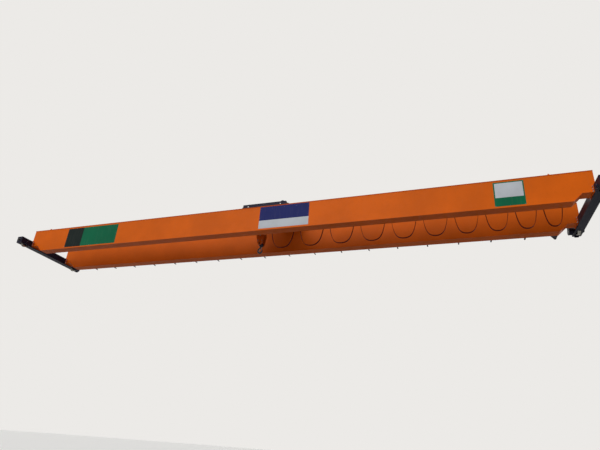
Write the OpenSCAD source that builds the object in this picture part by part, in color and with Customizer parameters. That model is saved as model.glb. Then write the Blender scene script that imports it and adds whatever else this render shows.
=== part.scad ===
// Double-girder overhead travelling crane, laid out in millimetres.
// X runs along the girders, Y along the runway (the viewer's side is -Y), Z is up.
// Origin: mid span, midway between the two girders, at the level of the runway rail head.

/* [Bridge girders] */
// Overall length of each box girder
girder_len = 20000; // [14000:100:26000]
// Depth of a girder from the top of one flange to the bottom of the other
girder_depth = 925; // [700:5:1300]
// Width of the girder flanges
girder_w = 320; // [260:10:420]
// Thickness of the top and bottom flanges
flange_t = 10; // [6:1:20]
// Thickness of the girder webs
web_t = 6; // [5:1:12]
// Flange lip left outside each web
flange_lip = 15; // [8:1:40]
// Height of the girder tops above the runway rail head
girder_top = 810; // [600:5:1200]
// Rise of the underside at each end of a girder
end_rise = 230; // [120:5:400]
// Length of the slope up to the raised end
end_slope = 230; // [100:5:500]
// Length of the flat raised end
end_flat = 345; // [290:5:700]
// Thickness of the plate that closes each girder end
end_plate_t = 8; // [5:1:20]
// How far the closing plate sits inside the girder end
end_plate_inset = 20; // [5:1:80]
// Distance between the centre lines of the two girders and of the trolley rails
gauge = 1750; // [1400:10:3000]

/* [Trolley rails] */
// Width of the trolley rail bar
rail_w = 50; // [40:1:70]
// Height of the trolley rail bar
rail_h = 30; // [20:1:60]
// Distance from the girder end to the end of its rail
rail_inset = 500; // [300:10:1500]
// Distance from the left girder end to the faces of its rail stops
left_stop_inset = 650; // [640:10:5000]
// Distance from the right girder end to the faces of its rail stops
right_stop_inset = 1060; // [640:10:5000]
// Length of a rail stop along the rail
stop_len = 110; // [80:5:250]
// Height of a rail stop above the flange
stop_h = 112; // [90:2:300]

/* [End trucks] */
// Width of an end truck box
truck_w = 250; // [200:5:320]
// Height of an end truck box
truck_h = 256; // [200:2:400]
// Height of the truck's underside above the runway rail head
truck_clear = 55; // [30:5:90]
// How far a truck box reaches beyond its wheel centres
truck_overhang = 240; // [200:5:600]
// How far the girder ends reach over the truck
truck_overlap = 70; // [40:5:120]
// Wall thickness of the truck box
truck_wall = 10; // [6:1:16]
// Thickness of the angled seat between truck and girder
seat_t = 16; // [8:1:30]
// Width of the angled seat
seat_w = 400; // [340:10:480]
// Distance between the wheel centres of a truck
wheelbase = 2600; // [2500:10:4500]
// Tread diameter of the travel wheels
wheel_d = 250; // [200:5:320]
// Width of the wheel tread between its flanges
tread_w = 62; // [50:1:90]
// Height of the wheel flanges above the tread
wheel_flange_h = 15; // [8:1:25]
// Thickness of one wheel flange
wheel_flange_t = 14; // [8:1:25]
// Diameter of the wheel axle
axle_d = 60; // [40:1:80]
// Length of the buffers on the truck ends
truck_buffer_len = 60; // [55:5:250]
// Diameter of the buffers on the truck ends
truck_buffer_d = 90; // [60:5:140]

/* [Travel drive] */
// Thickness of the travel gear case along the axle
drive_gear_t = 120; // [80:1:160]
// Radius of the gear case around the axle
drive_gear_r = 118; // [90:1:122]
// Height of the motor flange above the wheel axle
drive_rise = 205; // [170:1:280]
// Diameter of the upright travel motor
drive_motor_d = 136; // [100:1:150]
// Length of the upright travel motor
drive_motor_len = 280; // [180:5:450]

/* [Foot brackets] */
// Distance between the foot brackets on the far girder
bracket_pitch = 1000; // [600:1:2000]
// Clear length from the girder end to the last foot bracket
bracket_end = 1500; // [700:10:5000]
// Reach of a foot bracket beyond the flange
bracket_reach = 160; // [40:1:400]
// Reach of the triangular bracket beyond the flange
corner_reach = 290; // [100:5:500]
// Width of the triangular bracket at the girder
corner_w = 230; // [120:5:500]
// Leg width of the angle that makes a foot bracket
bracket_leg = 40; // [30:1:90]
// Thickness of the angle that makes a foot bracket
bracket_t = 6; // [4:1:10]
// Diameter of the bolt hole in a foot bracket
bracket_hole_d = 14; // [10:1:18]

/* [Festoon] */
// Distance of the festoon rail centre from the girder's inner flange edge
festoon_offset = 105; // [80:5:250]
// Width and height of the festoon C-rail
festoon_rail_size = 40; // [30:1:60]
// Depth of the festoon rail top below the girder top
festoon_drop = 80; // [60:5:300]
// Distance from the girder end to the festoon end clamp
festoon_end_inset = 675; // [600:5:3000]
// Number of hanging cable loops
loop_count = 10; // [4:1:14]
// Width of the first loop, at the trolley, as a share of the mean loop
loop_first_share = 1.147; // [1:0.001:1.25]
// Depth of the loop bottoms below the runway rail head
loop_bottom = 605; // [100:5:700]
// Radius of the cable saddles
saddle_r = 50; // [40:1:80]
// Thickness of the flat cable
cable_t = 12; // [8:1:20]
// Width of the flat cable
cable_w = 60; // [30:1:90]
// Fullness of the loops: low hangs like a slack chain, high is boxy
loop_fullness = 5; // [3:0.1:8]

/* [Trolley] */
// Overall length of the trolley frame
trolley_len = 1600; // [1300:10:2400]
// Position of the trolley frame's left end
trolley_x0 = -590; // [-4000:10:4000]
// Width of a trolley side beam
side_beam_w = 150; // [120:2:200]
// Height of a trolley side beam
side_beam_h = 128; // [110:1:200]
// Gap between the rail head and the side beam
side_beam_clear = 22; // [10:1:40]
// Width of the cross beams
cross_beam_w = 80; // [60:2:140]
// Wall thickness of the trolley beams
beam_wall = 6; // [5:1:10]
// Distance between the trolley wheel centres
trolley_wheelbase = 1200; // [900:10:1800]
// Tread diameter of the trolley wheels
trolley_wheel_d = 125; // [100:1:150]
// Diameter of the trolley wheel axles
trolley_axle_d = 35; // [20:1:50]
// Length of the trolley buffers
trolley_buffer_len = 60; // [30:5:120]

/* [Hoist] */
// Position of the hook's centre line along the girders
hook_x = -200; // [-2000:10:2000]
// Half the distance between the rope falls across the girders
fall_y = 75; // [60:1:120]
// Diameter of the hoist rope
rope_d = 12; // [8:1:16]
// Pitch diameter of the rope drum
drum_pitch_d = 260; // [200:5:400]
// Length of the drum between its flanges
drum_len = 960; // [760:10:1040]
// Pitch diameter of the hook block sheaves
sheave_pitch_d = 250; // [200:5:360]
// Thickness of a hook block sheave
sheave_t = 44; // [30:1:60]
// Height of the hook block pin above the runway rail head, hook at rest
block_z = 200; // [0:5:450]
// Diameter of the hoist motor
hoist_motor_d = 200; // [150:5:280]
// Length of the hoist motor
hoist_motor_len = 430; // [300:5:520]

/* [Hook block] */
// Distance between the inner faces of the hook block plates
block_gap = 220; // [180:2:300]
// Thickness of the hook block plates
block_plate_t = 12; // [8:1:20]
// Diameter of the sheave pin
sheave_pin_d = 60; // [40:1:80]
// Drop of the crosshead below the sheave pin
crosshead_drop = 325; // [280:5:420]
// Diameter of the hook shank
shank_d = 60; // [40:1:80]
// Diameter of the hook's mouth
mouth_d = 100; // [70:1:160]
// Drop of the mouth centre below the crosshead
mouth_drop = 240; // [200:5:320]

/* [Hidden] */
$fn = 48;

half_len = girder_len / 2;
left_stop_x = half_len - left_stop_inset;
right_stop_x = half_len - right_stop_inset;
festoon_end_x = half_len - festoon_end_inset;
bracket_count = floor((girder_len - 2 * bracket_end) / bracket_pitch) + 1;
truck_len = wheelbase + 2 * truck_overhang;
top_z = girder_top;
low_z = girder_top - girder_depth;
raised_z = low_z + end_rise;
girder_y = gauge / 2;
inner_y = girder_y - girder_w / 2;
outer_y = girder_y + girder_w / 2;
web_y = girder_w / 2 - flange_lip - web_t / 2;
mitre = flange_t * tan(atan2(end_rise, end_slope) / 2);
rail_z = top_z + rail_h;

truck_face = half_len - truck_overlap;
truck_x = truck_face + truck_w / 2;
truck_z = truck_clear;
truck_top = truck_z + truck_h;
notch_x = truck_face - seat_t;
notch_z = truck_top + seat_t;
wheel_z = wheel_d / 2;
near_wheel_y = -wheelbase / 2;
far_wheel_y = wheelbase / 2;
truck_end_t = 12;
bearing_flange_d = 140;
bearing_boss_d = 110;
bearing_flange_t = 12;
bearing_len = 38;
axle_gap = 0.4;

beam_z = rail_z + side_beam_clear;
beam_top = beam_z + side_beam_h;
trolley_x1 = trolley_x0 + trolley_len;
trolley_mid = trolley_x0 + trolley_len / 2;
side_inner_y = girder_y - side_beam_w / 2;
mid_beam_x = trolley_mid + 135;
trolley_wheel_z = rail_z + trolley_wheel_d / 2;
trolley_wheel_gap = 0.3;
deck_t = 6;

festoon_y = -(inner_y - festoon_offset);
festoon_z = top_z - festoon_drop;
saddle_z = festoon_z - festoon_rail_size - 40 - saddle_r;
tow_x = mid_beam_x;
tow_span = festoon_end_x - tow_x;
loop_first_pitch = loop_first_share * tow_span / loop_count;
function squares(n) = n * (n + 1) * (2 * n + 1) / 6;
loop_step = (loop_count * loop_first_pitch - tow_span) / squares(loop_count - 1);
function support_x(i) = tow_x + i * loop_first_pitch - (i > 0 ? loop_step * squares(i - 1) : 0);

drum_r = drum_pitch_d / 2;
sheave_r = sheave_pitch_d / 2;
drum_x = hook_x + sheave_r + drum_r;
drum_z = beam_top + 62;
drum_body_r = drum_r - rope_d / 2 - 0.5;
drum_flange_r = drum_r + 26;
drum_flange_t = 12;
bearer_w = 60;
gear_bearer_w = 140;
bearer_y = drum_len / 2 + 60;
gear_y = drum_len / 2 + 80;
equaliser_x = hook_x - sheave_r;
equaliser_r = fall_y;
equaliser_z = beam_top - equaliser_r - rope_d / 2 - 20;
motor_x = drum_x + 305;
motor_z = drum_z + 52;
winding_pitch = rope_d + 2;
winding_y0 = fall_y + rope_d / 2 + 1;
winding_count = floor((drum_len / 2 - 25 - winding_y0) / winding_pitch);

crosshead_z = block_z - crosshead_drop;
mouth_z = crosshead_z - mouth_drop;
crosshead_h = 90;
crosshead_w = 110;
neck_z = crosshead_z - crosshead_h / 2 - 55;

orange = "#c2541c";
truck_blue = "#1f2230";
steel = "#8d9094";
dark = "#2b2c2e";
rubber = "#1a1a1a";
grey = "#6f7478";

// Lower outline of a girder, from left to right, raised by an offset above the real underside
function underside(lift, shift) = [
    [-notch_x, raised_z + lift], [-(half_len - end_flat) + shift, raised_z + lift],
    [-(half_len - end_flat - end_slope) + shift, low_z + lift],
    [(half_len - end_flat - end_slope) - shift, low_z + lift],
    [(half_len - end_flat) - shift, raised_z + lift], [notch_x, raised_z + lift]
];
function backwards(list) = [for (i = [len(list) - 1:-1:0]) list[i]];

// Extrudes an outline in the XZ plane by a thickness centred on y
module slab_y(y, thick) {
    translate([0, y + thick / 2, 0]) rotate([90, 0, 0]) linear_extrude(thick) children();
}
// Extrudes an outline in the YZ plane by a thickness centred on x
module slab_x(x, thick) {
    translate([x - thick / 2, 0, 0]) rotate([90, 0, 90]) linear_extrude(thick) children();
}
module block(x0, x1, y0, y1, z0, z1) {
    translate([x0, y0, z0]) cube([x1 - x0, y1 - y0, z1 - z0]);
}
module rod_x(x0, x1, y, z, d) {
    translate([x0, y, z]) rotate([0, 90, 0]) cylinder(h = x1 - x0, d = d);
}
module rod_y(y0, y1, x, z, d) {
    translate([x, y1, z]) rotate([90, 0, 0]) cylinder(h = y1 - y0, d = d);
}

// Two webs of one girder, cut to the raised ends and notched over the trucks
module girder_webs(side) {
    color(orange) for (s = [-1, 1])
        slab_y(side * girder_y + s * web_y, web_t)
            polygon(concat(underside(flange_t, -mitre),
                [[notch_x, notch_z], [half_len, notch_z], [half_len, top_z - flange_t],
                 [-half_len, top_z - flange_t], [-half_len, notch_z], [-notch_x, notch_z]]));
}
module girder_top_flange(side) {
    color(orange)
        block(-half_len, half_len, side * girder_y - girder_w / 2, side * girder_y + girder_w / 2,
            top_z - flange_t, top_z);
}
// Bottom flange bent up to the raised ends, its thickness the same on the slopes
module girder_bottom_flange(side) {
    color(orange) slab_y(side * girder_y, girder_w)
        polygon(concat(underside(0, 0), backwards(underside(flange_t, -mitre))));
}
module near_girder_webs() { girder_webs(-1); }
module near_girder_top_flange() { girder_top_flange(-1); }
module near_girder_bottom_flange() { girder_bottom_flange(-1); }
module far_girder_webs() { girder_webs(1); }
module far_girder_top_flange() { girder_top_flange(1); }
module far_girder_bottom_flange() { girder_bottom_flange(1); }

module girder_end_plates() {
    inside = web_y - web_t / 2;
    color(orange) for (side = [-1, 1], end = [-1, 1])
        translate([end * (half_len - end_plate_inset - end_plate_t / 2), side * girder_y,
                (notch_z + top_z - flange_t) / 2])
            cube([end_plate_t, 2 * inside, top_z - flange_t - notch_z], center = true);
}
// Angled seats: one leg lies on the truck, the other is bolted to its inner face
module girder_seats() {
    low = raised_z - 30;
    color(orange) for (side = [-1, 1], end = [-1, 1])
        slab_y(side * girder_y, seat_w) polygon([
            [end * notch_x, low], [end * truck_face, low], [end * truck_face, truck_top],
            [end * half_len, truck_top], [end * half_len, notch_z], [end * notch_x, notch_z]]);
}

module trolley_rail(side) {
    color(steel) translate([0, side * girder_y, top_z + rail_h / 2])
        cube([girder_len - 2 * rail_inset, rail_w, rail_h], center = true);
}
module near_trolley_rail() { trolley_rail(-1); }
module far_trolley_rail() { trolley_rail(1); }

// A rail stop straddles the rail: a face plate with two gussets behind it
module rail_stop(dir) {
    plate_t = 16;
    gusset_t = 10;
    gusset_y = rail_w / 2 + 3;
    difference() {
        union() {
            translate([0, -gusset_y - gusset_t, 0]) cube([plate_t, 2 * (gusset_y + gusset_t), stop_h]);
            for (y = [-gusset_y - gusset_t, gusset_y])
                translate([0, y + gusset_t, 0]) rotate([90, 0, 0]) linear_extrude(gusset_t)
                    polygon([[0, 0], [stop_len, 0], [stop_len, 20], [plate_t, stop_h], [0, stop_h]]);
        }
        translate([-1, -rail_w / 2 - 1, -1]) cube([stop_len + 2, rail_w + 2, rail_h + 2]);
    }
}
module rail_stops() {
    color(orange) for (side = [-1, 1]) {
        translate([right_stop_x, side * girder_y, top_z]) rail_stop();
        translate([-left_stop_x, side * girder_y, top_z]) mirror([1, 0, 0]) rail_stop();
    }
}

// Box of an end truck with its open wheel slots and bearing holes
module end_truck(end) {
    slot_len = wheel_d + 2 * wheel_flange_h + 40;
    slot_w = tread_w + 2 * wheel_flange_t + 30;
    color(truck_blue) difference() {
        translate([end * truck_x, 0, truck_z + truck_h / 2])
            cube([truck_w, truck_len, truck_h], center = true);
        translate([end * truck_x, 0, truck_z + truck_h / 2])
            cube([truck_w - 2 * truck_wall, truck_len + 2, truck_h - 2 * truck_wall], center = true);
        for (y = [near_wheel_y, far_wheel_y]) {
            translate([end * truck_x, y, truck_z]) cube([slot_w, slot_len, 3 * truck_wall], center = true);
            rod_x(end * truck_x - truck_w, end * truck_x + truck_w, y, wheel_z, bearing_boss_d - 20);
        }
    }
}
module left_end_truck() { end_truck(-1); }
module right_end_truck() { end_truck(1); }

// Closing plate of a truck end with the rail sweep that hangs below it
module truck_end_plates() {
    sweep_w = 150;
    sweep_gap = 20;
    color(truck_blue) for (end = [-1, 1], dir = [-1, 1])
        slab_y(dir * (truck_len + truck_end_t) / 2, truck_end_t)
            translate([end * truck_x, 0]) polygon([
                [-truck_w / 2, truck_top], [-truck_w / 2, truck_z],
                [-sweep_w / 2, truck_z], [-sweep_w / 2 + 20, sweep_gap],
                [sweep_w / 2 - 20, sweep_gap], [sweep_w / 2, truck_z],
                [truck_w / 2, truck_z], [truck_w / 2, truck_top]]);
}
module truck_buffers() {
    base_t = 12;
    r = truck_buffer_d / 2;
    color(rubber) for (end = [-1, 1], dir = [-1, 1])
        translate([end * truck_x, dir * (truck_len / 2 + truck_end_t), truck_z + truck_h / 2])
            rotate([-90 * dir, 0, 0]) rotate_extrude()
                polygon([[0, 0], [r + 15, 0], [r + 15, base_t], [r * 0.8, base_t], [r, base_t + 16],
                    [r, truck_buffer_len - 22], [r * 0.72, truck_buffer_len], [0, truck_buffer_len]]);
}
// Flanged bearing housings on both cheeks of every wheel
module wheel_bearings() {
    color(truck_blue) for (end = [-1, 1], y = [near_wheel_y, far_wheel_y], cheek = [-1, 1]) {
        driven = y == far_wheel_y && cheek == -end;
        translate([end * truck_x + cheek * truck_w / 2, y, wheel_z]) rotate([0, 90 * cheek, 0])
            rotate_extrude() polygon(concat(
                [[axle_d / 2 + axle_gap, -truck_wall], [bearing_boss_d / 2 - 11, -truck_wall],
                 [bearing_boss_d / 2 - 11, 0], [bearing_flange_d / 2, 0],
                 [bearing_flange_d / 2, bearing_flange_t], [bearing_boss_d / 2, bearing_flange_t + 4]],
                driven ? [[bearing_boss_d / 2, bearing_len - 10], [axle_d / 2 + axle_gap, bearing_len - 10]]
                    : [[bearing_boss_d / 2, bearing_len], [0, bearing_len], [0, bearing_len - 8],
                       [axle_d / 2 + axle_gap, bearing_len - 8]]));
    }
}

// Double-flanged travel wheel turned with its keyed axle
module travel_wheel(end, y) {
    hub_r = 55;
    rim = wheel_d / 2 - 24;
    full = tread_w / 2 + wheel_flange_t;
    driven = y == far_wheel_y;
    plain_end = truck_w / 2 + bearing_len - 8 - 3;
    drive_end = truck_w / 2 + bearing_len + drive_gear_t - 12;
    color(steel) translate([end * truck_x, y, wheel_z]) rotate([0, 90 * end, 0]) rotate_extrude()
        polygon([[0, driven ? -drive_end : -plain_end], [axle_d / 2, driven ? -drive_end : -plain_end],
            [axle_d / 2, -full - 12], [hub_r, -full - 12], [hub_r, -14], [rim, -14], [rim, -full],
            [wheel_d / 2 + wheel_flange_h, -full], [wheel_d / 2 + wheel_flange_h, -tread_w / 2 - 3],
            [wheel_d / 2, -tread_w / 2], [wheel_d / 2, tread_w / 2],
            [wheel_d / 2 + wheel_flange_h, tread_w / 2 + 3], [wheel_d / 2 + wheel_flange_h, full],
            [rim, full], [rim, 14], [hub_r, 14], [hub_r, full + 12], [axle_d / 2, full + 12],
            [axle_d / 2, plain_end], [0, plain_end]]);
}
module near_left_wheel() { travel_wheel(-1, near_wheel_y); }
module far_left_wheel() { travel_wheel(-1, far_wheel_y); }
module near_right_wheel() { travel_wheel(1, near_wheel_y); }
module far_right_wheel() { travel_wheel(1, far_wheel_y); }

// Ribbed motor turned about its shaft: flange, cooling ribs and fan cowl
module motor_shape(d, length) {
    r = d / 2;
    ribs = 7;
    rib_zone = length * 0.55;
    rib_start = length * 0.12;
    step = rib_zone / ribs;
    rotate_extrude() polygon(concat(
        [[0, 0], [r, 0], [r, rib_start * 0.6], [r * 0.82, rib_start]],
        [for (i = [0:ribs - 1], p = [[0.82, 0.2], [0.96, 0.28], [0.96, 0.72], [0.82, 0.8]])
            [r * p[0], rib_start + (i + p[1]) * step]],
        [[r * 0.82, rib_start + rib_zone + 4], [r * 0.92, rib_start + rib_zone + 8],
         [r * 0.92, length - 14], [r * 0.7, length], [0, length]]));
}
// Terminal box with its lid and two cable glands, on the +X side of a motor along Z
module terminal_box(r, length, height) {
    z0 = length * 0.16;
    z1 = length * 0.56;
    half = (z1 - z0) * 0.42;
    block(r * 0.7, r + height - 8, -half, half, z0, z1);
    block(r + height - 9, r + height, -half - 4, half + 4, z0 - 4, z1 + 4);
    for (y = [-half / 2, half / 2])
        translate([r + height / 2 - 4, y, z1 - 1]) cylinder(h = 23, d = 20, $fn = 6);
}
// Parallel-shaft gear case: two round ends joined by a flat-sided body
module gear_outline(r1, r2, rise) {
    a = r1 * 0.96;
    b = r2 * 0.96;
    circle(r1);
    translate([0, rise]) circle(r2);
    polygon([[a, 0], [b, rise], [-b, rise], [-a, 0]]);
}
// Hollow-shaft gear case on the far wheel's axle with its motor standing on top
module travel_drive(end) {
    face_x = truck_face - bearing_len + 10 - 2;
    mid_x = face_x - drive_gear_t / 2;
    half_w = drive_motor_d / 2 + 4;
    color(truck_blue) mirror([end < 0 ? 1 : 0, 0, 0]) difference() {
        union() {
            slab_x(mid_x, drive_gear_t) translate([far_wheel_y, wheel_z]) {
                gear_outline(drive_gear_r, 76, drive_rise - 76);
                translate([-half_w, drive_rise - 40]) square([2 * half_w, 40]);
            }
            translate([mid_x, far_wheel_y, wheel_z + drive_rise]) {
                motor_shape(drive_motor_d, drive_motor_len);
                rotate([0, 0, 90]) terminal_box(drive_motor_d / 2, drive_motor_len, 46);
            }
            block(face_x - 10, truck_face, far_wheel_y - 40, far_wheel_y + 40,
                truck_top - 50, truck_top - 15);
        }
        rod_x(face_x - drive_gear_t - 1, face_x + 1, far_wheel_y, wheel_z, axle_d + 2 * axle_gap);
    }
}
module left_travel_drive() { travel_drive(-1); }
module right_travel_drive() { travel_drive(1); }

// Angle brackets on the far girder's outer foot, and a larger triangular one before the right-hand bend
module foot_brackets() {
    last = bracket_count - 1;
    y0 = girder_y + web_y + web_t / 2;
    y1 = outer_y + bracket_reach;
    z = low_z + flange_t;
    color(truck_blue) for (i = [0:last]) {
        x = (i - last / 2) * bracket_pitch;
        difference() {
            union() {
                block(x - bracket_leg / 2, x + bracket_leg / 2, y0, y1, z, z + bracket_t);
                block(x - bracket_leg / 2, x - bracket_leg / 2 + bracket_t, y0, y1, z, z + bracket_leg);
            }
            translate([x + bracket_t / 2, y1 - 30, z - 1]) cylinder(h = bracket_t + 2, d = bracket_hole_d);
        }
    }
    x1 = half_len - end_flat - end_slope - 10;
    tip = outer_y + corner_reach;
    color(truck_blue) {
        translate([0, 0, z]) linear_extrude(bracket_t)
            polygon([[x1 - corner_w, y0], [x1, y0], [x1, tip], [x1 - 45, tip]]);
        block(x1 - bracket_t, x1, y0, tip, z, z + bracket_leg);
    }
}

// C-rail of the festoon, open below
module festoon_rail() {
    s = festoon_rail_size;
    wall = 3;
    mouth = 14;
    color(steel) slab_x(0, 2 * festoon_end_x) translate([festoon_y, festoon_z]) polygon([
        [-s / 2, 0], [-s / 2, -s], [-mouth / 2, -s], [-mouth / 2, -s + wall], [-s / 2 + wall, -s + wall],
        [-s / 2 + wall, -wall], [s / 2 - wall, -wall], [s / 2 - wall, -s + wall], [mouth / 2, -s + wall],
        [mouth / 2, -s], [s / 2, -s], [s / 2, 0]]);
}
module festoon_arms() {
    arms = 13;
    t = 6;
    leg = 40;
    y0 = -girder_y + web_y + web_t / 2;
    pitch = (2 * festoon_end_x - 200) / (arms - 1);
    color(orange) for (i = [0:arms - 1]) {
        x = -festoon_end_x + 100 + i * pitch;
        block(x - leg / 2, x + leg / 2, y0, festoon_y + festoon_rail_size / 2, festoon_z, festoon_z + t);
        block(x - leg / 2, x - leg / 2 + t, y0, festoon_y + festoon_rail_size / 2, festoon_z, festoon_z + leg);
    }
}
module festoon_end_box() {
    w = 220;
    h = 180;
    z0 = saddle_z - h / 2;
    y0 = -girder_y + web_y + web_t / 2;
    color(grey) difference() {
        block(festoon_end_x - 60, festoon_end_x - 60 + w, y0, festoon_y + cable_w / 2 + 20, z0,
            festoon_z - festoon_rail_size - 12);
        block(festoon_end_x - saddle_r - cable_t / 2 - 6, festoon_end_x - saddle_r + cable_t / 2 + 2,
            festoon_y - cable_w / 2 - 0.3, festoon_y + cable_w / 2 + 0.3, z0 - 1, z0 + 40);
    }
}

// Path of the flat cable: every loop hangs as a stiff catenary between two supports
loop_steps = 20;
leg_drop = saddle_z + loop_bottom;
function leg_width(i) = (support_x(i + 1) - support_x(i)) / 2 - saddle_r - cable_t / 2;
function hyp_cos(t) = (exp(t) + exp(-t)) / 2;
saddle_steps = 8;
function loop_points(i) = let (cx = (support_x(i) + support_x(i + 1)) / 2)
    [for (k = [1:loop_steps - 1]) let (
        t = 2 * k / loop_steps - 1,
        rise = (hyp_cos(loop_fullness * t) - 1) / (hyp_cos(loop_fullness) - 1))
        [cx + leg_width(i) * t, -loop_bottom + leg_drop * rise]];
function saddle_points(i) = let (r = saddle_r + cable_t / 2)
    [for (k = [0:saddle_steps]) let (a = 180 - k * 180 / saddle_steps)
        [support_x(i) + r * cos(a), saddle_z + r * sin(a)]];
function join(lists) = [for (l = lists) for (p = l) p];
cable_path = concat(
    [[tow_x + saddle_r + cable_t / 2, saddle_z - 20]],
    join([for (i = [0:loop_count - 1])
        concat(loop_points(i), i < loop_count - 1 ? saddle_points(i + 1) : [])]),
    [[festoon_end_x - saddle_r, saddle_z - 60]]);
function side_of(path, i, d) = let (
        a = path[max(i - 1, 0)], b = path[min(i + 1, len(path) - 1)],
        t = (b - a) / norm(b - a))
    path[i] + d * [-t[1], t[0]];
module ribbon(path, thick) {
    count = len(path);
    polygon(concat([for (i = [0:count - 1]) side_of(path, i, thick / 2)],
        [for (i = [count - 1:-1:0]) side_of(path, i, -thick / 2)]));
}
module festoon_cable() {
    color(dark) slab_y(festoon_y, cable_w) ribbon(cable_path, cable_t);
}
// Carriers that roll in the C-rail and hold the cable over a round saddle
module festoon_carriers() {
    neck = 8;
    roller_d = 22;
    wheel_plane = festoon_z - festoon_rail_size + 3 + roller_d / 2 + 1;
    color(steel) for (i = [1:loop_count - 1]) {
        x = support_x(i);
        difference() {
            slab_y(festoon_y, cable_w + 8) translate([x, saddle_z]) difference() {
                circle(saddle_r * cos(90 / saddle_steps) - 0.3);
                circle(saddle_r - 8);
                translate([-saddle_r, -2 * saddle_r]) square([2 * saddle_r, 2 * saddle_r]);
            }
        }
        block(x - 20, x + 20, festoon_y + cable_w / 2 + 1, festoon_y + cable_w / 2 + 4,
            saddle_z + saddle_r - 8, festoon_z - festoon_rail_size - 6);
        block(x - 20, x + 20, festoon_y - neck / 2, festoon_y + cable_w / 2 + 4,
            festoon_z - festoon_rail_size - 9, festoon_z - festoon_rail_size - 5);
        block(x - 15, x + 15, festoon_y - neck / 2, festoon_y + neck / 2,
            festoon_z - festoon_rail_size - 9, wheel_plane + 4);
        for (dx = [-10, 10])
            rod_y(festoon_y - 14, festoon_y + 14, x + dx * 1.3, wheel_plane, roller_d);
    }
}

// Side beam of the trolley: an open-bottomed box over the rail
module side_beam(side) {
    color(truck_blue) difference() {
        translate([trolley_mid, side * girder_y, beam_z + side_beam_h / 2])
            cube([trolley_len, side_beam_w, side_beam_h], center = true);
        translate([trolley_mid, side * girder_y, beam_z + side_beam_h / 2 - beam_wall])
            cube([trolley_len - 2 * beam_wall, side_beam_w - 2 * beam_wall, side_beam_h], center = true);
        for (dx = [-1, 1])
            rod_y(side * girder_y - side_beam_w, side * girder_y + side_beam_w,
                trolley_mid + dx * trolley_wheelbase / 2, trolley_wheel_z, trolley_axle_d + 2 * axle_gap);
    }
}
module near_side_beam() { side_beam(-1); }
module far_side_beam() { side_beam(1); }

module cross_beam(x) {
    y = side_inner_y;
    difference() {
        block(x - cross_beam_w / 2, x + cross_beam_w / 2, -y, y, beam_z, beam_top);
        block(x - cross_beam_w / 2 + beam_wall, x + cross_beam_w / 2 - beam_wall, -y - 1, y + 1,
            beam_z + beam_wall, beam_top - beam_wall);
    }
}
module trolley_cross_beams() {
    color(truck_blue) for (x = [trolley_x0 + cross_beam_w / 2, mid_beam_x, trolley_x1 - cross_beam_w / 2])
        cross_beam(x);
}
// Two bearers between the left and middle cross beams carry the winch
module winch_bearers() {
    x0 = trolley_x0 + cross_beam_w;
    x1 = mid_beam_x - cross_beam_w / 2;
    color(truck_blue) {
        block(x0, x1, -bearer_y - bearer_w / 2, -bearer_y + bearer_w / 2, beam_z, beam_top);
        block(x0, x1, gear_y, gear_y + gear_bearer_w, beam_z, beam_top);
    }
}
module trolley_wheels() {
    r = trolley_wheel_d / 2 - trolley_wheel_gap;
    tread = rail_w / 2 + 5;
    flange = tread + 9;
    end = side_beam_w / 2 + 6;
    color(steel) for (side = [-1, 1], dx = [-1, 1])
        translate([trolley_mid + dx * trolley_wheelbase / 2, side * girder_y, trolley_wheel_z])
            rotate([90, 0, 0]) rotate_extrude() polygon([
                [0, -end], [trolley_axle_d / 2, -end], [trolley_axle_d / 2, -flange - 6], [28, -flange - 6],
                [28, -flange], [r + 9, -flange], [r + 9, -tread - 2], [r, -tread], [r, tread],
                [r + 9, tread + 2], [r + 9, flange], [28, flange], [28, flange + 6],
                [trolley_axle_d / 2, flange + 6], [trolley_axle_d / 2, end], [0, end]]);
}
module trolley_buffers() {
    z = beam_z + side_beam_h * 0.4;
    color(rubber) for (side = [-1, 1]) {
        translate([trolley_x1, side * girder_y, z]) rotate([0, 90, 0])
            cylinder(h = trolley_buffer_len, d1 = 66, d2 = 54);
        translate([trolley_x0, side * girder_y, z]) rotate([0, -90, 0])
            cylinder(h = trolley_buffer_len, d1 = 66, d2 = 54);
    }
}
// Gear motor on the inner cheek of a side beam, driving its right wheel
module trolley_drive(side) {
    gear_t = 80;
    rise = 150;
    x = trolley_mid + trolley_wheelbase / 2;
    color(truck_blue) mirror([0, side < 0 ? 1 : 0, 0]) difference() {
        union() {
            slab_y(side_inner_y - 8 - gear_t / 2, gear_t)
                translate([x, trolley_wheel_z]) gear_outline(54, 72, rise);
            translate([x, side_inner_y - 8 - gear_t, trolley_wheel_z + rise]) rotate([90, 0, 0]) {
                motor_shape(140, 250);
                rotate([0, 0, 90]) terminal_box(70, 250, 46);
            }
            block(x - 25, x + 25, side_inner_y - 12, side_inner_y, beam_top - 30, beam_top - 5);
        }
        rod_y(side_inner_y - 9 - gear_t, side_inner_y + 1, x, trolley_wheel_z, trolley_axle_d + 2 * axle_gap);
    }
}
module near_trolley_drive() { trolley_drive(-1); }
module far_trolley_drive() { trolley_drive(1); }

module trolley_deck() {
    color(truck_blue) block(mid_beam_x - cross_beam_w / 2, trolley_x1, -420, 420, beam_top, beam_top + deck_t);
}
module control_box() {
    z = beam_top + deck_t;
    x0 = motor_x + hoist_motor_d / 2 + 40;
    x1 = trolley_x1 - 150;
    color(grey) {
        block(x0, x1, -300, 300, z, z + 290);
        block(x0 - 8, x1 + 8, -308, 308, z + 290, z + 302);
    }
}
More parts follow.
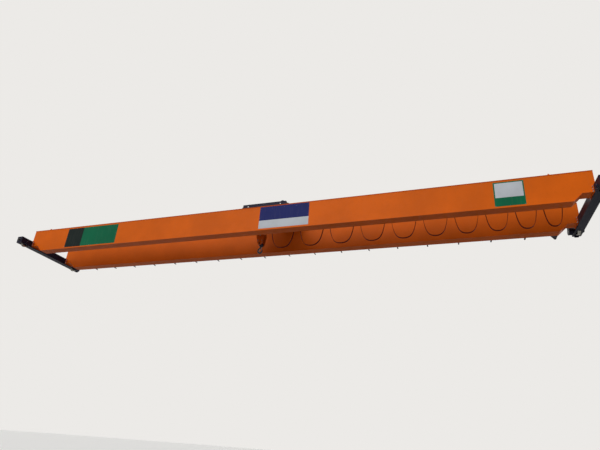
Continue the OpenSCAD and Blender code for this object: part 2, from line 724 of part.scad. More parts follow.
// Tow arm hangs from the middle cross beam and pulls the first end of the cable
module festoon_tow_arm() {
    rail_under = festoon_z - festoon_rail_size;
    post_y = festoon_y + cable_w / 2 + 20;
    color(steel) {
        block(tow_x - 50, tow_x + 50, post_y - 30, post_y + 40, beam_z - 8, beam_z);
        block(tow_x - 30, tow_x + 30, post_y, post_y + 10, rail_under - 38, beam_z - 8);
        block(tow_x - 30, tow_x + saddle_r + cable_t + 14, festoon_y - cable_w / 2 - 10, post_y + 10,
            rail_under - 48, rail_under - 38);
        difference() {
            block(tow_x + saddle_r - 14, tow_x + saddle_r + cable_t + 14, festoon_y - cable_w / 2 - 10,
                festoon_y + cable_w / 2 + 10, saddle_z - 50, rail_under - 48);
            block(tow_x + saddle_r - 1, tow_x + saddle_r + cable_t + 6, festoon_y - cable_w / 2 - 1,
                festoon_y + cable_w / 2 + 1, saddle_z - 51, saddle_z + 1);
        }
    }
}

module rope_drum() {
    half = drum_len / 2;
    shaft_r = 35;
    color(orange) translate([drum_x, 0, drum_z]) rotate([90, 0, 0]) rotate_extrude() polygon([
        [0, -gear_y - 55], [shaft_r, -gear_y - 55], [shaft_r, -half], [drum_flange_r, -half],
        [drum_flange_r, -half + drum_flange_t], [drum_body_r, -half + drum_flange_t],
        [drum_body_r, half - drum_flange_t], [drum_flange_r, half - drum_flange_t],
        [drum_flange_r, half], [shaft_r, half], [shaft_r, bearer_y + 30], [0, bearer_y + 30]]);
}
// Rope coils lying side by side on the drum, left-hand on one half and right-hand on the other
module rope_windings() {
    r0 = drum_body_r + 0.2;
    crest = drum_r + rope_d / 2;
    valley = drum_r + rope_d / 6;
    color(dark) for (dir = [-1, 1]) translate([drum_x, 0, drum_z]) rotate([-90 * dir, 0, 0])
        rotate_extrude() polygon(concat(
            [[r0, winding_y0 + winding_count * winding_pitch], [r0, winding_y0]],
            [for (i = [0:winding_count - 1], p = [[valley, 0], [crest, 0.3], [crest, 0.7]])
                [p[0], winding_y0 + (i + p[1]) * winding_pitch]],
            [[valley, winding_y0 + winding_count * winding_pitch]]));
}
// Pedestal bearing under the drum's near journal
module drum_bearing() {
    color(truck_blue) difference() {
        slab_y(-bearer_y, 50) translate([drum_x, 0]) {
            polygon([[-85, beam_top], [85, beam_top], [85, beam_top + 18], [55, beam_top + 22],
                [55, drum_z], [-55, drum_z], [-55, beam_top + 22], [-85, beam_top + 18]]);
            translate([0, drum_z]) circle(55);
        }
        rod_y(-bearer_y - 26, -bearer_y + 26, drum_x, drum_z, 70 + 2 * axle_gap);
    }
}
module hoist_gearbox() {
    x0 = drum_x - 125;
    x1 = motor_x + 115;
    top = motor_z + 110;
    color(truck_blue) difference() {
        union() {
            slab_y(gear_y + gear_bearer_w / 2, gear_bearer_w - 10) polygon([
                [x0, beam_top], [x1, beam_top], [x1, top - 40], [x1 - 40, top],
                [motor_x - 90, top], [x0 + 70, drum_z + 115], [x0, drum_z + 60]]);
            slab_y(gear_y + gear_bearer_w / 2, 12) polygon([
                [x0 - 16, drum_z - 6], [x1 + 16, drum_z - 6], [x1 + 16, drum_z + 14], [x0 - 16, drum_z + 14]]);
            block(x0 - 28, x1 + 28, gear_y + 5, gear_y + gear_bearer_w - 5, beam_top, beam_top + 16);
            block(motor_x - 70, motor_x + 50, gear_y + 25, gear_y + gear_bearer_w - 25, top - 1, top + 8);
            translate([motor_x + 20, gear_y + gear_bearer_w / 2, top]) cylinder(h = 40, d = 24);
        }
        rod_y(gear_y - 1, gear_y + 60, drum_x, drum_z, 70 + 2 * axle_gap);
    }
}
module hoist_motor() {
    color(truck_blue) translate([motor_x, gear_y + 5, motor_z]) rotate([90, 0, 0]) {
        motor_shape(hoist_motor_d, hoist_motor_len);
        rotate([0, 0, 90]) terminal_box(hoist_motor_d / 2, hoist_motor_len, 60);
    }
}
// Cross tube over the bearers with two cheeks that hold the equaliser sheave
module equaliser_beam() {
    cheek = 26;
    h = 60;
    y0 = -bearer_y - bearer_w / 2;
    y1 = gear_y + gear_bearer_w;
    color(truck_blue) {
        difference() {
            block(equaliser_x - 35, equaliser_x + 35, y0, y1, beam_top, beam_top + h);
            block(equaliser_x - 29, equaliser_x + 29, y0 - 1, y1 + 1, beam_top + 6, beam_top + h - 6);
        }
        for (dx = [-1, 1])
            slab_x(equaliser_x + dx * (cheek + 4), 8) polygon([[-70, beam_top], [-40, equaliser_z - 40],
                [40, equaliser_z - 40], [70, beam_top]]);
        rod_x(equaliser_x - cheek - 20, equaliser_x + cheek + 20, 0, equaliser_z, 40);
    }
}
// Grooved rope sheave about its own axis: pitch radius, thickness and bore
module sheave_shape(pitch_r, thick, bore_d) {
    rim_r = pitch_r + rope_d;
    groove_r = rope_d / 2 + 0.5;
    web = thick * 0.18;
    color(orange) rotate_extrude() difference() {
        polygon([[bore_d / 2, -thick / 2], [bore_d / 2 + 16, -thick / 2], [bore_d / 2 + 16, -web],
            [pitch_r - 22, -web], [pitch_r - 18, -thick * 0.32], [rim_r, -thick * 0.32],
            [rim_r, thick * 0.32], [pitch_r - 18, thick * 0.32], [pitch_r - 22, web],
            [bore_d / 2 + 16, web], [bore_d / 2 + 16, thick / 2], [bore_d / 2, thick / 2]]);
        translate([pitch_r, 0]) circle(groove_r, $fn = 24);
        polygon([[pitch_r, -groove_r * 0.98], [rim_r + 1, -thick * 0.26],
            [rim_r + 1, thick * 0.26], [pitch_r, groove_r * 0.98]]);
    }
}
module equaliser_sheave() {
    translate([equaliser_x, 0, equaliser_z]) rotate([0, 90, 0]) sheave_shape(equaliser_r, 40, 40.4);
}
// Four falls of rope with the turns under the block sheaves and over the equaliser
module hoist_ropes() {
    color(dark) {
        for (s = [-1, 1]) {
            translate([drum_x - drum_r, s * fall_y, block_z]) cylinder(h = drum_z - block_z, d = rope_d);
            translate([equaliser_x, s * fall_y, block_z]) cylinder(h = equaliser_z - block_z, d = rope_d);
            translate([hook_x, s * fall_y, block_z]) rotate([-90, 0, 0])
                rotate_extrude(angle = 180) translate([sheave_r, 0]) circle(d = rope_d, $fn = 24);
        }
        translate([equaliser_x, 0, equaliser_z]) rotate([90, 0, 90])
            rotate_extrude(angle = 180) translate([equaliser_r, 0]) circle(d = rope_d, $fn = 24);
    }
}

// Hook block plates: round over the sheaves, tapering to the crosshead
module block_plates() {
    r = sheave_r + rope_d + 14;
    low = crosshead_z - 55;
    color(orange) for (s = [-1, 1]) difference() {
        slab_y(s * (block_gap + block_plate_t) / 2, block_plate_t) translate([hook_x, 0])
            polygon(concat(
                [for (k = [0:24]) let (a = -12 + k * 204 / 24) [r * cos(a), block_z + r * sin(a)]],
                [[-92, crosshead_z + 20], [-50, low], [50, low], [92, crosshead_z + 20]]));
        rod_y(-block_gap, block_gap, hook_x, block_z, sheave_pin_d + 0.4);
        rod_y(-block_gap, block_gap, hook_x, crosshead_z, 50.4);
    }
}
module block_sheaves() {
    for (s = [-1, 1])
        translate([hook_x, s * fall_y, block_z]) rotate([90, 0, 0])
            sheave_shape(sheave_r, sheave_t, sheave_pin_d + 0.4);
}
module block_pin() {
    reach = block_gap / 2 + block_plate_t + 14;
    color(steel) {
        rod_y(-reach, reach, hook_x, block_z, sheave_pin_d);
        difference() {
            rod_y(-fall_y + sheave_t / 2 + 0.3, fall_y - sheave_t / 2 - 0.3, hook_x, block_z, sheave_pin_d + 24);
            rod_y(-fall_y, fall_y, hook_x, block_z, sheave_pin_d - 1);
        }
    }
}
module crosshead() {
    reach = block_gap / 2 + block_plate_t + 10;
    color(truck_blue) difference() {
        union() {
            translate([hook_x, 0, crosshead_z])
                cube([crosshead_w, block_gap - 1, crosshead_h], center = true);
            rod_y(-reach, reach, hook_x, crosshead_z, 50);
            translate([hook_x, 0, crosshead_z + crosshead_h / 2]) cylinder(h = 22, d = 104);
        }
        translate([hook_x, 0, crosshead_z - crosshead_h]) cylinder(h = 3 * crosshead_h, d = shank_d + 1.2);
    }
}

// Point hook: the shank turns into a bowl whose section thickens at the back and bottom
hook_rings = 26;
neck_rings = 7;
hook_sides = 16;
function smooth(t) = t * t * (3 - 2 * t);
function hook_depth(a) = a < 270 ? 58 + 16 * (a - 180) / 90 : 74 - 36 * (a - 270) / 115;
function hook_width(a) = a < 270 ? 50 : 50 - 20 * (a - 270) / 115;
back_x = -(mouth_d / 2 + 29);
function hook_ring(i) = i < neck_rings
    ? let (t = i / neck_rings)
        [[hook_x + back_x * smooth(t), neck_z + (mouth_z - neck_z) * t], 60 - 2 * t, 60 - 10 * t]
    : let (a = 180 + (i - neck_rings) * 205 / (hook_rings - neck_rings),
        r = mouth_d / 2 + hook_depth(a) / 2)
        [[hook_x + r * cos(a), mouth_z + r * sin(a)], hook_depth(a), hook_width(a)];
function hook_tangent(i) = let (
        a = hook_ring(max(i - 1, 0))[0], b = hook_ring(min(i + 1, hook_rings))[0], d = b - a)
    i == 0 ? [0, -1] : d / norm(d);
function ring_points(i) = let (h = hook_ring(i), t = hook_tangent(i), n = [-t[1], t[0]])
    [for (k = [0:hook_sides - 1]) let (p = k * 360 / hook_sides)
        [h[0][0] + n[0] * h[1] / 2 * cos(p), h[2] / 2 * sin(p), h[0][1] + n[1] * h[1] / 2 * cos(p)]];
module hook_bowl() {
    n = hook_sides;
    points = join([for (i = [0:hook_rings]) ring_points(i)]);
    faces = concat(
        [[for (k = [n - 1:-1:0]) k]],
        join([for (i = [0:hook_rings - 1]) join([for (k = [0:n - 1]) let (
                a = i * n + k, b = i * n + (k + 1) % n, c = b + n, d = a + n)
            [[a, b, d], [b, c, d]]])]),
        [[for (k = [0:n - 1]) hook_rings * n + k]]);
    polyhedron(points, faces);
}
module hook() {
    top = crosshead_z + crosshead_h / 2 + 22 + 72;
    color(dark) {
        translate([hook_x, 0, neck_z - 1]) cylinder(h = top - neck_z + 1, d = shank_d);
        hook_bowl();
        block(hook_x + 22, hook_x + 44, -8, 8, neck_z - 22, neck_z - 4);
    }
}
module hook_nut() {
    z = crosshead_z + crosshead_h / 2 + 22 + 0.4;
    color(steel) difference() {
        translate([hook_x, 0, z]) cylinder(h = 56, d = 98, $fn = 6);
        translate([hook_x, 0, z - 1]) cylinder(h = 58, d = shank_d + 0.4);
    }
}
// Sprung latch: two ears on the neck boss and a tongue to the hook point
module hook_latch() {
    tip = hook_ring(hook_rings)[0];
    px = hook_x + 36;
    pz = neck_z - 13;
    color(steel) {
        for (s = [-1, 1])
            slab_y(s * 10.6, 4) polygon([[px - 8, pz + 8], [px + 9, pz + 6], [tip[0] - 24, tip[1] + 20],
                [tip[0] - 30, tip[1] + 6]]);
        slab_y(0, 25.2) polygon([[tip[0] - 31, tip[1] + 9], [tip[0] - 24, tip[1] + 22],
            [tip[0] - 19, tip[1] - 18], [tip[0] - 24, tip[1] - 18]]);
        rod_y(-17, 17, px, pz, 7);
    }
}

near_girder_webs();
near_girder_top_flange();
near_girder_bottom_flange();
far_girder_webs();
far_girder_top_flange();
far_girder_bottom_flange();
girder_end_plates();
girder_seats();
near_trolley_rail();
far_trolley_rail();
rail_stops();
left_end_truck();
right_end_truck();
truck_end_plates();
truck_buffers();
wheel_bearings();
near_left_wheel();
far_left_wheel();
near_right_wheel();
far_right_wheel();
left_travel_drive();
right_travel_drive();
foot_brackets();
festoon_rail();
festoon_arms();
festoon_end_box();
festoon_carriers();
festoon_cable();
near_side_beam();
far_side_beam();
trolley_cross_beams();
winch_bearers();
trolley_wheels();
trolley_buffers();
near_trolley_drive();
far_trolley_drive();
trolley_deck();
control_box();
festoon_tow_arm();
rope_drum();
rope_windings();
drum_bearing();
hoist_gearbox();
hoist_motor();
equaliser_beam();
equaliser_sheave();
hoist_ropes();
block_plates();
block_sheaves();
block_pin();
crosshead();
hook();
hook_nut();
hook_latch();
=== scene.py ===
"""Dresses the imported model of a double-girder overhead travelling crane.

Metres, +X along the girders, +Y along the runway, +Z up, origin at mid span on the rail heads.
Each operator adds one group of pieces or finishes, and the last lights it and sets the camera.
"""

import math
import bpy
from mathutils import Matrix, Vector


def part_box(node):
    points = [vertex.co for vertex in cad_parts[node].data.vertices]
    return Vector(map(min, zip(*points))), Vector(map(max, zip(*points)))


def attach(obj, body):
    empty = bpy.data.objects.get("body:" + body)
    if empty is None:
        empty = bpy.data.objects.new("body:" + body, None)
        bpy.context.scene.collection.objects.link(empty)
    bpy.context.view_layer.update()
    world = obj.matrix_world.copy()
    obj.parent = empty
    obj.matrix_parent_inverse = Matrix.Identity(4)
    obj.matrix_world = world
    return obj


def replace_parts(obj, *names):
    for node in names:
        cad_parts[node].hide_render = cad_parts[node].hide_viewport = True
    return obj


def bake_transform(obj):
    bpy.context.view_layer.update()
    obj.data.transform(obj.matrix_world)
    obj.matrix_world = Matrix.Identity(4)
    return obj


bl_info = {
    "name": "Overhead crane dressing",
    "version": (1, 0, 0),
    "blender": (4, 5, 0),
    "location": "View3D > Sidebar > Crane",
    "description": "Finishes, welds, bolts, wire rope, festoon and boards for an overhead crane",
    "category": "Object",
}

from functools import partial
from itertools import product

import bmesh
import bpy
from bpy.props import FloatProperty, FloatVectorProperty, IntProperty, PointerProperty
from mathutils import Matrix, Vector

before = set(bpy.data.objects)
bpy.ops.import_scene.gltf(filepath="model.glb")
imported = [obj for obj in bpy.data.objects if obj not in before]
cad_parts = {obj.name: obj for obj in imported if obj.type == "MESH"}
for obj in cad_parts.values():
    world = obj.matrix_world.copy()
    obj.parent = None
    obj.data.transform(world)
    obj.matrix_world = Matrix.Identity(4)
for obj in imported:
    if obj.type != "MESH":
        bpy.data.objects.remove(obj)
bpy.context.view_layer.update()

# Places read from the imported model, so the dressing follows it
FLANGE_LOW, FLANGE_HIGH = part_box("near_girder_top_flange")
WEB_LOW, WEB_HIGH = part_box("near_girder_webs")
FOOT_LOW, FOOT_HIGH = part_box("near_girder_bottom_flange")
RAIL_LOW, RAIL_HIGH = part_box("near_trolley_rail")
TRUCK_LOW, TRUCK_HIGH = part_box("right_end_truck")
WHEEL_LOW, WHEEL_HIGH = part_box("near_right_wheel")
CABLE_LOW, CABLE_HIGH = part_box("festoon_cable")
DRUM_LOW, DRUM_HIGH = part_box("rope_drum")
FALL_LOW, FALL_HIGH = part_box("hoist_ropes")
PLATE_LOW, PLATE_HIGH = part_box("block_plates")
CROSSHEAD_LOW, CROSSHEAD_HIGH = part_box("crosshead")
CONTROL_LOW, CONTROL_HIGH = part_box("control_box")
SEAT_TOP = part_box("girder_seats")[1].z
C_RAIL_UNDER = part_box("festoon_rail")[0].z
COIL_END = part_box("rope_windings")[1].y
SHANK_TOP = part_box("hook")[1].z
BEAM_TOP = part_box("near_side_beam")[1].z

# Girders: half their length, middle line, flange, and both ends of the foot's bend from the end
HALF_LEN = FLANGE_HIGH.x
GIRDER_Y = (FLANGE_LOW.y + FLANGE_HIGH.y) / 2
FLANGE_T = 0.010
BEND_OUT, BEND_IN = 0.345, 0.575

# Hoist: the falls' middle and spread, sheave and drum radius to the rope's centre
HOOK_X = (FALL_LOW.x + FALL_HIGH.x) / 2
FALL_Y = 0.075
SHEAVE_R, DRUM_R = 0.125, 0.130
BLOCK_Z = 0.200
DRUM_X = HOOK_X + SHEAVE_R + DRUM_R
DRUM_Z = (DRUM_LOW.z + DRUM_HIGH.z) / 2
EQUALISER_Z = FALL_HIGH.z - FALL_Y - 0.006

# Festoon: its plane, saddle height, loop bottoms and ends; clamps and saddles have these radii
FESTOON_Y = (CABLE_LOW.y + CABLE_HIGH.y) / 2
SADDLE_Z = C_RAIL_UNDER - 0.090
LOOP_BOTTOM = -0.605
TOW_X, FESTOON_END = 0.345, 9.325
LOOPS = 10
FIRST_PITCH = 1.030
CLAMP_R, SADDLE_R = 0.050, 0.040
# A stiff cable's catenary is fuller than a rope's; the trolley travels this far to the right
FULLNESS = 5.0
TRAVEL_RIGHT = 7.86

# Board fields: finish, x from, x to, z from, z to, sheets that each lies proud of the web
BOARD_FIELDS = {
    "left_board_field": ("green", -8.23, -5.81, -0.060, 0.745, 1.0),
    "left_board_end": ("dark", -8.23, -7.46, -0.060, 0.745, 1.35),
    "middle_board_top": ("navy", 0.12, 1.88, 0.255, 0.782, 1.0),
    "middle_board_foot": ("grey", 0.12, 1.88, -0.047, 0.255, 1.0),
    "right_board_rim": ("green", 7.465, 8.275, -0.055, 0.743, 1.0),
    "right_board_field": ("grey", 7.50, 8.24, 0.225, 0.708, 1.35),
}
# Riveted sheets: x from, x to, z from, z to
RIVETED = (
    (-8.23, -5.81, -0.060, 0.745), (0.12, 1.88, -0.047, 0.742), (7.465, 8.275, -0.055, 0.743))

# Stage: the floor, soft suns as name, strength, spread in degrees and direction, and the camera
FLOOR_Z, FLOOR_HALF = -8.43, 400
SUNS = (
    ("key", 1.9, 40, (0.25, 0.90, -0.32)),
    ("overhead", 0.8, 70, (0.1, 0.1, -1.0)),
    ("rim", 0.7, 60, (-0.6, -0.7, -0.3)),
)
CAMERA_PLACE = (5.950, -12.934, -6.833)
CAMERA_YAW, CAMERA_PITCH, CAMERA_ROLL = (math.radians(turn) for turn in (-19.54, 22.304, 4.239))
# The frame's centre lies this part of its width above the lens axis
CAMERA_SHIFT = 44.96 / 600


class CraneColours(bpy.types.PropertyGroup):
    """Colours of the crane's finishes, as a paint maker's sRGB values."""

    def paint(name, text, value):
        return FloatVectorProperty(
            name=name, description=text, subtype="COLOR_GAMMA", size=3, min=0, max=1,
            default=[int(value[i:i + 2], 16) / 255 for i in (1, 3, 5)],
        )

    girder: paint("Girder enamel", "Orange alkyd enamel on girders and hook block", "#ce5c09")
    truck: paint("Truck enamel", "Dark navy enamel on trucks, trolley and motors", "#201f30")
    primer: paint("Primer", "Red-brown primer under the enamel, seen along rubbed edges", "#7a5645")
    steel: paint("Bare steel", "Turned and rolled steel", "#a5a29b")
    rust: paint("Rail flank", "Mill scale and rust on rolled bar", "#5a3c2c")
    zinc: paint("Zinc", "Galvanised sheet and plated fittings", "#a9adb0")
    cable: paint("Flat cable", "Red-brown neoprene sheath of the festoon cable", "#4e1509")
    rope: paint("Wire rope", "Greased steel wire", "#4b4640")
    rubber: paint("Buffer rubber", "Moulded rubber of the buffers", "#1c1b1b")
    hook: paint("Forged hook", "Black enamel on forged steel", "#262528")
    enclosure: paint("Enclosure", "Powder coat on sheet-steel enclosures", "#8d9290")
    board_green: paint("Board green", "Green film of the left and right boards", "#0b5f40")
    board_navy: paint("Board navy", "Navy film of the middle board", "#131c5a")
    board_dark: paint("Board dark", "Blackish green film of the left board's end", "#18211f")
    board_grey: paint("Board grey", "Pale film of the middle and right boards", "#b4b8bd")
    floor: paint("Floor", "Plain pale studio floor", "#f6f4f0")


class CraneSizes(bpy.types.PropertyGroup):
    """Sizes of the small pieces that the dressing adds."""

    def size(name, text, value, low, high):
        return FloatProperty(name=name, description=text, default=value, min=low, max=high,
                             subtype="DISTANCE", unit="LENGTH")

    weld_leg: size("Weld leg", "Leg of the fillet welds along the girders", 0.007, 0.003, 0.015)
    stitch_len: size("Stitch length", "Length of the rails' stitch welds", 0.060, 0.02, 0.15)
    stitch_pitch: size("Stitch pitch", "Distance between stitch welds", 0.300, 0.15, 1.0)
    board_t: size("Board thickness", "Thickness of the sheet boards", 0.003, 0.001, 0.010)
    seat_bolt: size("Seat bolt", "Thread of the bolts in the girder seats", 0.020, 0.012, 0.030)
    bearing_bolt: size("Bearing bolt", "Thread of the bearing housings' bolts", 0.008, 0.006, 0.012)
    rope_d: size("Rope diameter", "Diameter of the hoist rope", 0.012, 0.008, 0.016)
    rope_lay: size("Rope lay", "Length in which a strand goes once round", 0.078, 0.04, 0.15)
    cable_w: size("Cable width", "Width of the festoon cable pack", 0.060, 0.03, 0.09)
    cable_t: size("Cable thickness", "Thickness of the festoon cable pack", 0.012, 0.006, 0.02)
    cores: IntProperty(name="Cores", description="Ribs of one flat cable", default=5, min=3, max=9)
    lens: FloatProperty(name="Lens", description="Focal length on a 36 mm sensor", default=26.30,
                        min=15, max=80, subtype="DISTANCE_CAMERA")


def colours():
    return bpy.context.scene.crane_colours


def sizes():
    return bpy.context.scene.crane_sizes


def linear(paint):
    """sRGB hex value or picker colour to the linear RGBA that shaders use."""
    if isinstance(paint, str):
        paint = [int(paint[i:i + 2], 16) / 255 for i in (1, 3, 5)]
    return [c / 12.92 if c <= 0.04045 else ((c + 0.055) / 1.055) ** 2.4 for c in paint] + [1.0]


def tinted(paint, factor):
    """A lighter or darker version of a linear colour."""
    return [min(1.0, c * factor) for c in linear(paint)[:3]] + [1.0]


# Materials

COLOUR = {"out": 2, "data_type": "RGBA"}
SMOOTH = {"interpolation_type": "SMOOTHSTEP"}
TIMES = {"operation": "MULTIPLY"}
GRAIN = ("Vector", "Scale", "Detail", "Roughness")
DUST, GRIME, BOARD_DUST, BOX_DUST = "#8a7050", "#5c5650", "#8f8678", "#8a7a66"


def add_node(tree, kind, inputs=(), out=0, **settings):
    """Adds one node with its settings, sets or links its inputs, and returns one output.

    Inputs come in the node's own order, or by name or number.
    """
    node = tree.nodes.new("ShaderNode" + kind)
    for key, value in settings.items():
        setattr(node, key, value)
    for key, value in inputs.items() if isinstance(inputs, dict) else enumerate(inputs):
        if isinstance(value, bpy.types.NodeSocket):
            tree.links.new(value, node.inputs[key])
        else:
            node.inputs[key].default_value = value
    return node.outputs[out] if node.outputs else None


def new_material(name):
    """An empty material, what adds a node to it, and its object coordinates in metres."""
    material = bpy.data.materials.new(name)
    material.use_nodes = True
    material.node_tree.nodes.clear()
    add = partial(add_node, material.node_tree)
    return material, add, add("TexCoord", out="Object")


def shade(add, colour, roughness, relief=None, **constants):
    """Principled shader and output; relief is a height, its depth in metres and its strength."""
    surface = {"Base Color": colour, "Roughness": roughness}
    if relief:
        surface["Normal"] = add("Bump", dict(zip(("Height", "Distance", "Strength"), relief)))
    surface.update((key.replace("_", " "), value) for key, value in constants.items())
    add("OutputMaterial", {"Surface": add("BsdfPrincipled", surface)})


def patches(add, grain, low, high, bottom=0.0, top=1.0):
    """Soft-edged patches: bottom where a cloudy grain is under low, top where it is over high.

    The grain is given by its place, grains in a metre, detail and roughness.
    """
    cloudy = add("TexNoise", {"Roughness": 0.55} | dict(zip(GRAIN, grain)))
    return add("MapRange", [cloudy, low, high, bottom, top], **SMOOTH)


def facing_up(add, low, high):
    """1 on surfaces that face up, 0 on walls."""
    upward = add("SeparateXYZ", [add("NewGeometry", out="Normal")], out=2)
    return add("MapRange", [upward, low, high], **SMOOTH)


def edges(add, radius):
    """1 beside an edge, within radius metres, and 0 on flat plate."""
    rounded = add("Bevel", [radius], samples=4)
    flat = add("NewGeometry", out="True Normal")
    turned = add("VectorMath", [rounded, flat], "Value", operation="DOT_PRODUCT")
    return add("MapRange", [turned, 0.995, 0.90], **SMOOTH)


def seen_directly(add):
    """1 for what the camera, a reflection or a transmission shows, 0 for light that bounces."""
    seen = add("LightPath", out="Is Camera Ray")
    for ray in ("Is Glossy Ray", "Is Transmission Ray"):
        seen = add("Math", [seen, add("LightPath", out=ray)], operation="MAXIMUM")
    return seen


def sprayed_enamel(name, paint, dust, roughness, diaphragms=0.0):
    """Alkyd enamel sprayed on plate: slight sheen, orange peel, faded patches, streaks and dust.

    Paint is thin along edges, where primer shows. Diaphragms behind a web, at the given distance,
    print through as faint upright lines.
    """
    material, add, place = new_material(name)
    dusty = [0.75 * own + 0.25 * brown for own, brown in zip(linear(paint), linear(DUST))]
    # Plates fade unevenly over about a metre and a half
    faded = patches(add, (place, 0.7, 4.0), 0.35, 0.7)
    colour = add("Mix", {0: faded, 6: tinted(paint, 0.91), 7: tinted(paint, 1.07)}, **COLOUR)
    # Overspray and handling marks, 60 mm across
    marks = patches(add, (place, 16.0, 6.0, 0.65), 0.5, 0.78, 0.0, 0.25)
    colour = add("Mix", {0: marks, 6: colour, 7: tinted(paint, 0.72)}, **COLOUR)
    # Rain streaks run down, 50 mm wide and a metre long
    down = add("Mapping", {"Vector": place, "Scale": (1, 1, 0.05)})
    streaks = patches(add, (down, 20.0, 4.0, 0.6), 0.56, 0.8, 0.0, dust * 0.5)
    colour = add("Mix", {0: streaks, 6: colour, 7: dusty}, **COLOUR)
    # Edges are rubbed through in places about 25 mm long
    rubbed = patches(add, (place, 40.0, 6.0, 0.7), 0.42, 0.60, 0.0, 0.55)
    rubbed = add("Math", [edges(add, 0.004), rubbed], **TIMES)
    colour = add("Mix", {0: rubbed, 6: colour, 7: linear(colours().primer)}, **COLOUR)
    # Dust lies on what faces up
    lying = patches(add, (place, 5.0, 5.0), 0.2, 0.75, dust * 0.4, dust)
    cover = add("Math", [facing_up(add, 0.55, 0.98), lying], **TIMES)
    colour = add("Mix", {0: cover, 6: colour, 7: dusty}, **COLOUR)
    sheen = patches(add, (place, 9.0, 5.0), 0.25, 0.75, roughness - 0.04, roughness + 0.08)
    dull = add("Math", [add("Math", [cover, 0.35], **TIMES), sheen])
    # Orange peel is 3 mm wide; it is drawn 8 mm wide so that it shows. Plate buckles over 0.6 m
    peel = add("TexNoise", dict(zip(GRAIN, (place, 125.0, 2.0, 0.55))))
    buckles = add("TexNoise", dict(zip(GRAIN, (place, 1.6, 2.0, 0.55))))
    height = add("Math", [add("Math", [buckles, 0.9], **TIMES), add("Math", [peel, 0.06], **TIMES)])
    if diaphragms:
        # A wave of scale pi / 10 repeats every metre; its crest is the pull of a weld 60 mm wide
        wave = add("TexWave", {"Vector": place, "Scale": math.pi / 10 / diaphragms}, "Fac")
        pull = add("MapRange", [wave, 0.96, 1.0, 0.0, -0.25], **SMOOTH)
        height = add("Math", [height, pull])
    shade(add, colour, dull, (height, 0.006, 0.5), IOR=1.42, Specular_IOR_Level=0.08)
    return material


def rolled_rail(name, paint):
    """Rolled bar: brown scale on the flanks and a bright band where the wheels roll."""
    material, add, place = new_material(name)
    # Scale flakes off in patches 30 mm across
    scale = patches(add, (place, 30.0, 6.0, 0.7), 0.3, 0.75)
    flank = add("Mix", {0: scale, 6: tinted(paint, 0.6), 7: tinted(paint, 1.3)}, **COLOUR)
    bright = facing_up(add, 0.8, 0.99)
    colour = add("Mix", {0: bright, 6: flank, 7: linear(colours().steel)}, **COLOUR)
    metal = add("Math", [bright, 0.9], **TIMES)
    # Rolling draws fine lines along the rail, 3 mm apart
    drawn = add("Mapping", {"Vector": place, "Scale": (0.05, 6, 1)})
    lines = patches(add, (drawn, 60.0, 3.0, 0.6), 0.2, 0.8, 0.55, 0.75)
    smooth = add("Math", [bright, -0.25], **TIMES)
    shade(add, colour, add("Math", [lines, smooth]), (scale, 0.0008, 0.6), Metallic=metal)
    return material


def turned_steel(name, paint):
    """Steel turned on a lathe: fine rings, a thin film of oil and slight stain."""
    material, add, place = new_material(name)
    stain = patches(add, (place, 25.0, 5.0), 0.35, 0.7)
    colour = add("Mix", {0: stain, 6: tinted(paint, 0.55), 7: linear(paint)}, **COLOUR)
    oil = patches(add, (place, 60.0, 4.0), 0.2, 0.8, 0.28, 0.5)
    # Tool marks are 0.3 mm apart; they are drawn 4 mm apart so that they show
    rings = add("TexWave", {"Vector": place, "Scale": 80.0, "Distortion": 0.4}, "Fac")
    shade(add, colour, oil, (rings, 0.0003, 0.3), Metallic=1.0)
    return material


def zinc_coated(name, paint):
    """Hot-dip galvanised steel: crystals 15 mm across with slightly different greys."""
    material, add, place = new_material(name)
    crystals = add("TexVoronoi", {"Vector": place, "Scale": 66.0}, "Color")
    grey = add("SeparateColor", [crystals])
    colour = add("Mix", {0: grey, 6: tinted(paint, 0.72), 7: tinted(paint, 1.05)}, **COLOUR)
    shine = add("MapRange", [grey, 0.0, 1.0, 0.34, 0.55], **SMOOTH)
    shade(add, colour, shine, (grey, 0.0003, 0.3), Metallic=0.85)
    return material


def greased_rope(name, paint):
    """Drawn steel wire laid in six strands: dull metal with grease in the valleys."""
    material, add, place = new_material(name)
    grease = patches(add, (place, 40.0, 4.0), 0.35, 0.7)
    colour = add("Mix", {0: grease, 6: tinted(paint, 0.5), 7: tinted(paint, 1.3)}, **COLOUR)
    shine = add("MapRange", [grease, 0.0, 1.0, 0.35, 0.6], **SMOOTH)
    # Wires are 0.6 mm thick; their lines are drawn 4 mm apart so that they show
    wires = add("TexWave", {"Vector": place, "Scale": 90.0, "Distortion": 0.2}, "Fac",
                bands_direction="DIAGONAL")
    shade(add, colour, shine, (wires, 0.0012, 0.7), Metallic=0.7)
    return material


def neoprene_sheath(name, paint):
    """Extruded neoprene: matt, faintly ribbed along the cable, paler where it flexes."""
    material, add, place = new_material(name)
    # Bloom lies in patches 80 mm long; the grain is drawn 3 mm wide so that it shows
    bloom = patches(add, (place, 12.0, 4.0), 0.35, 0.75, 0.0, 0.6)
    colour = add("Mix", {0: bloom, 6: linear(paint), 7: tinted(paint, 1.4)}, **COLOUR)
    matt = patches(add, (place, 50.0, 3.0), 0.2, 0.8, 0.5, 0.72)
    skin = add("TexNoise", dict(zip(GRAIN, (place, 350.0, 2.0, 0.55))))
    shade(add, colour, matt, (skin, 0.0005, 0.4), Specular_IOR_Level=0.05)
    return material


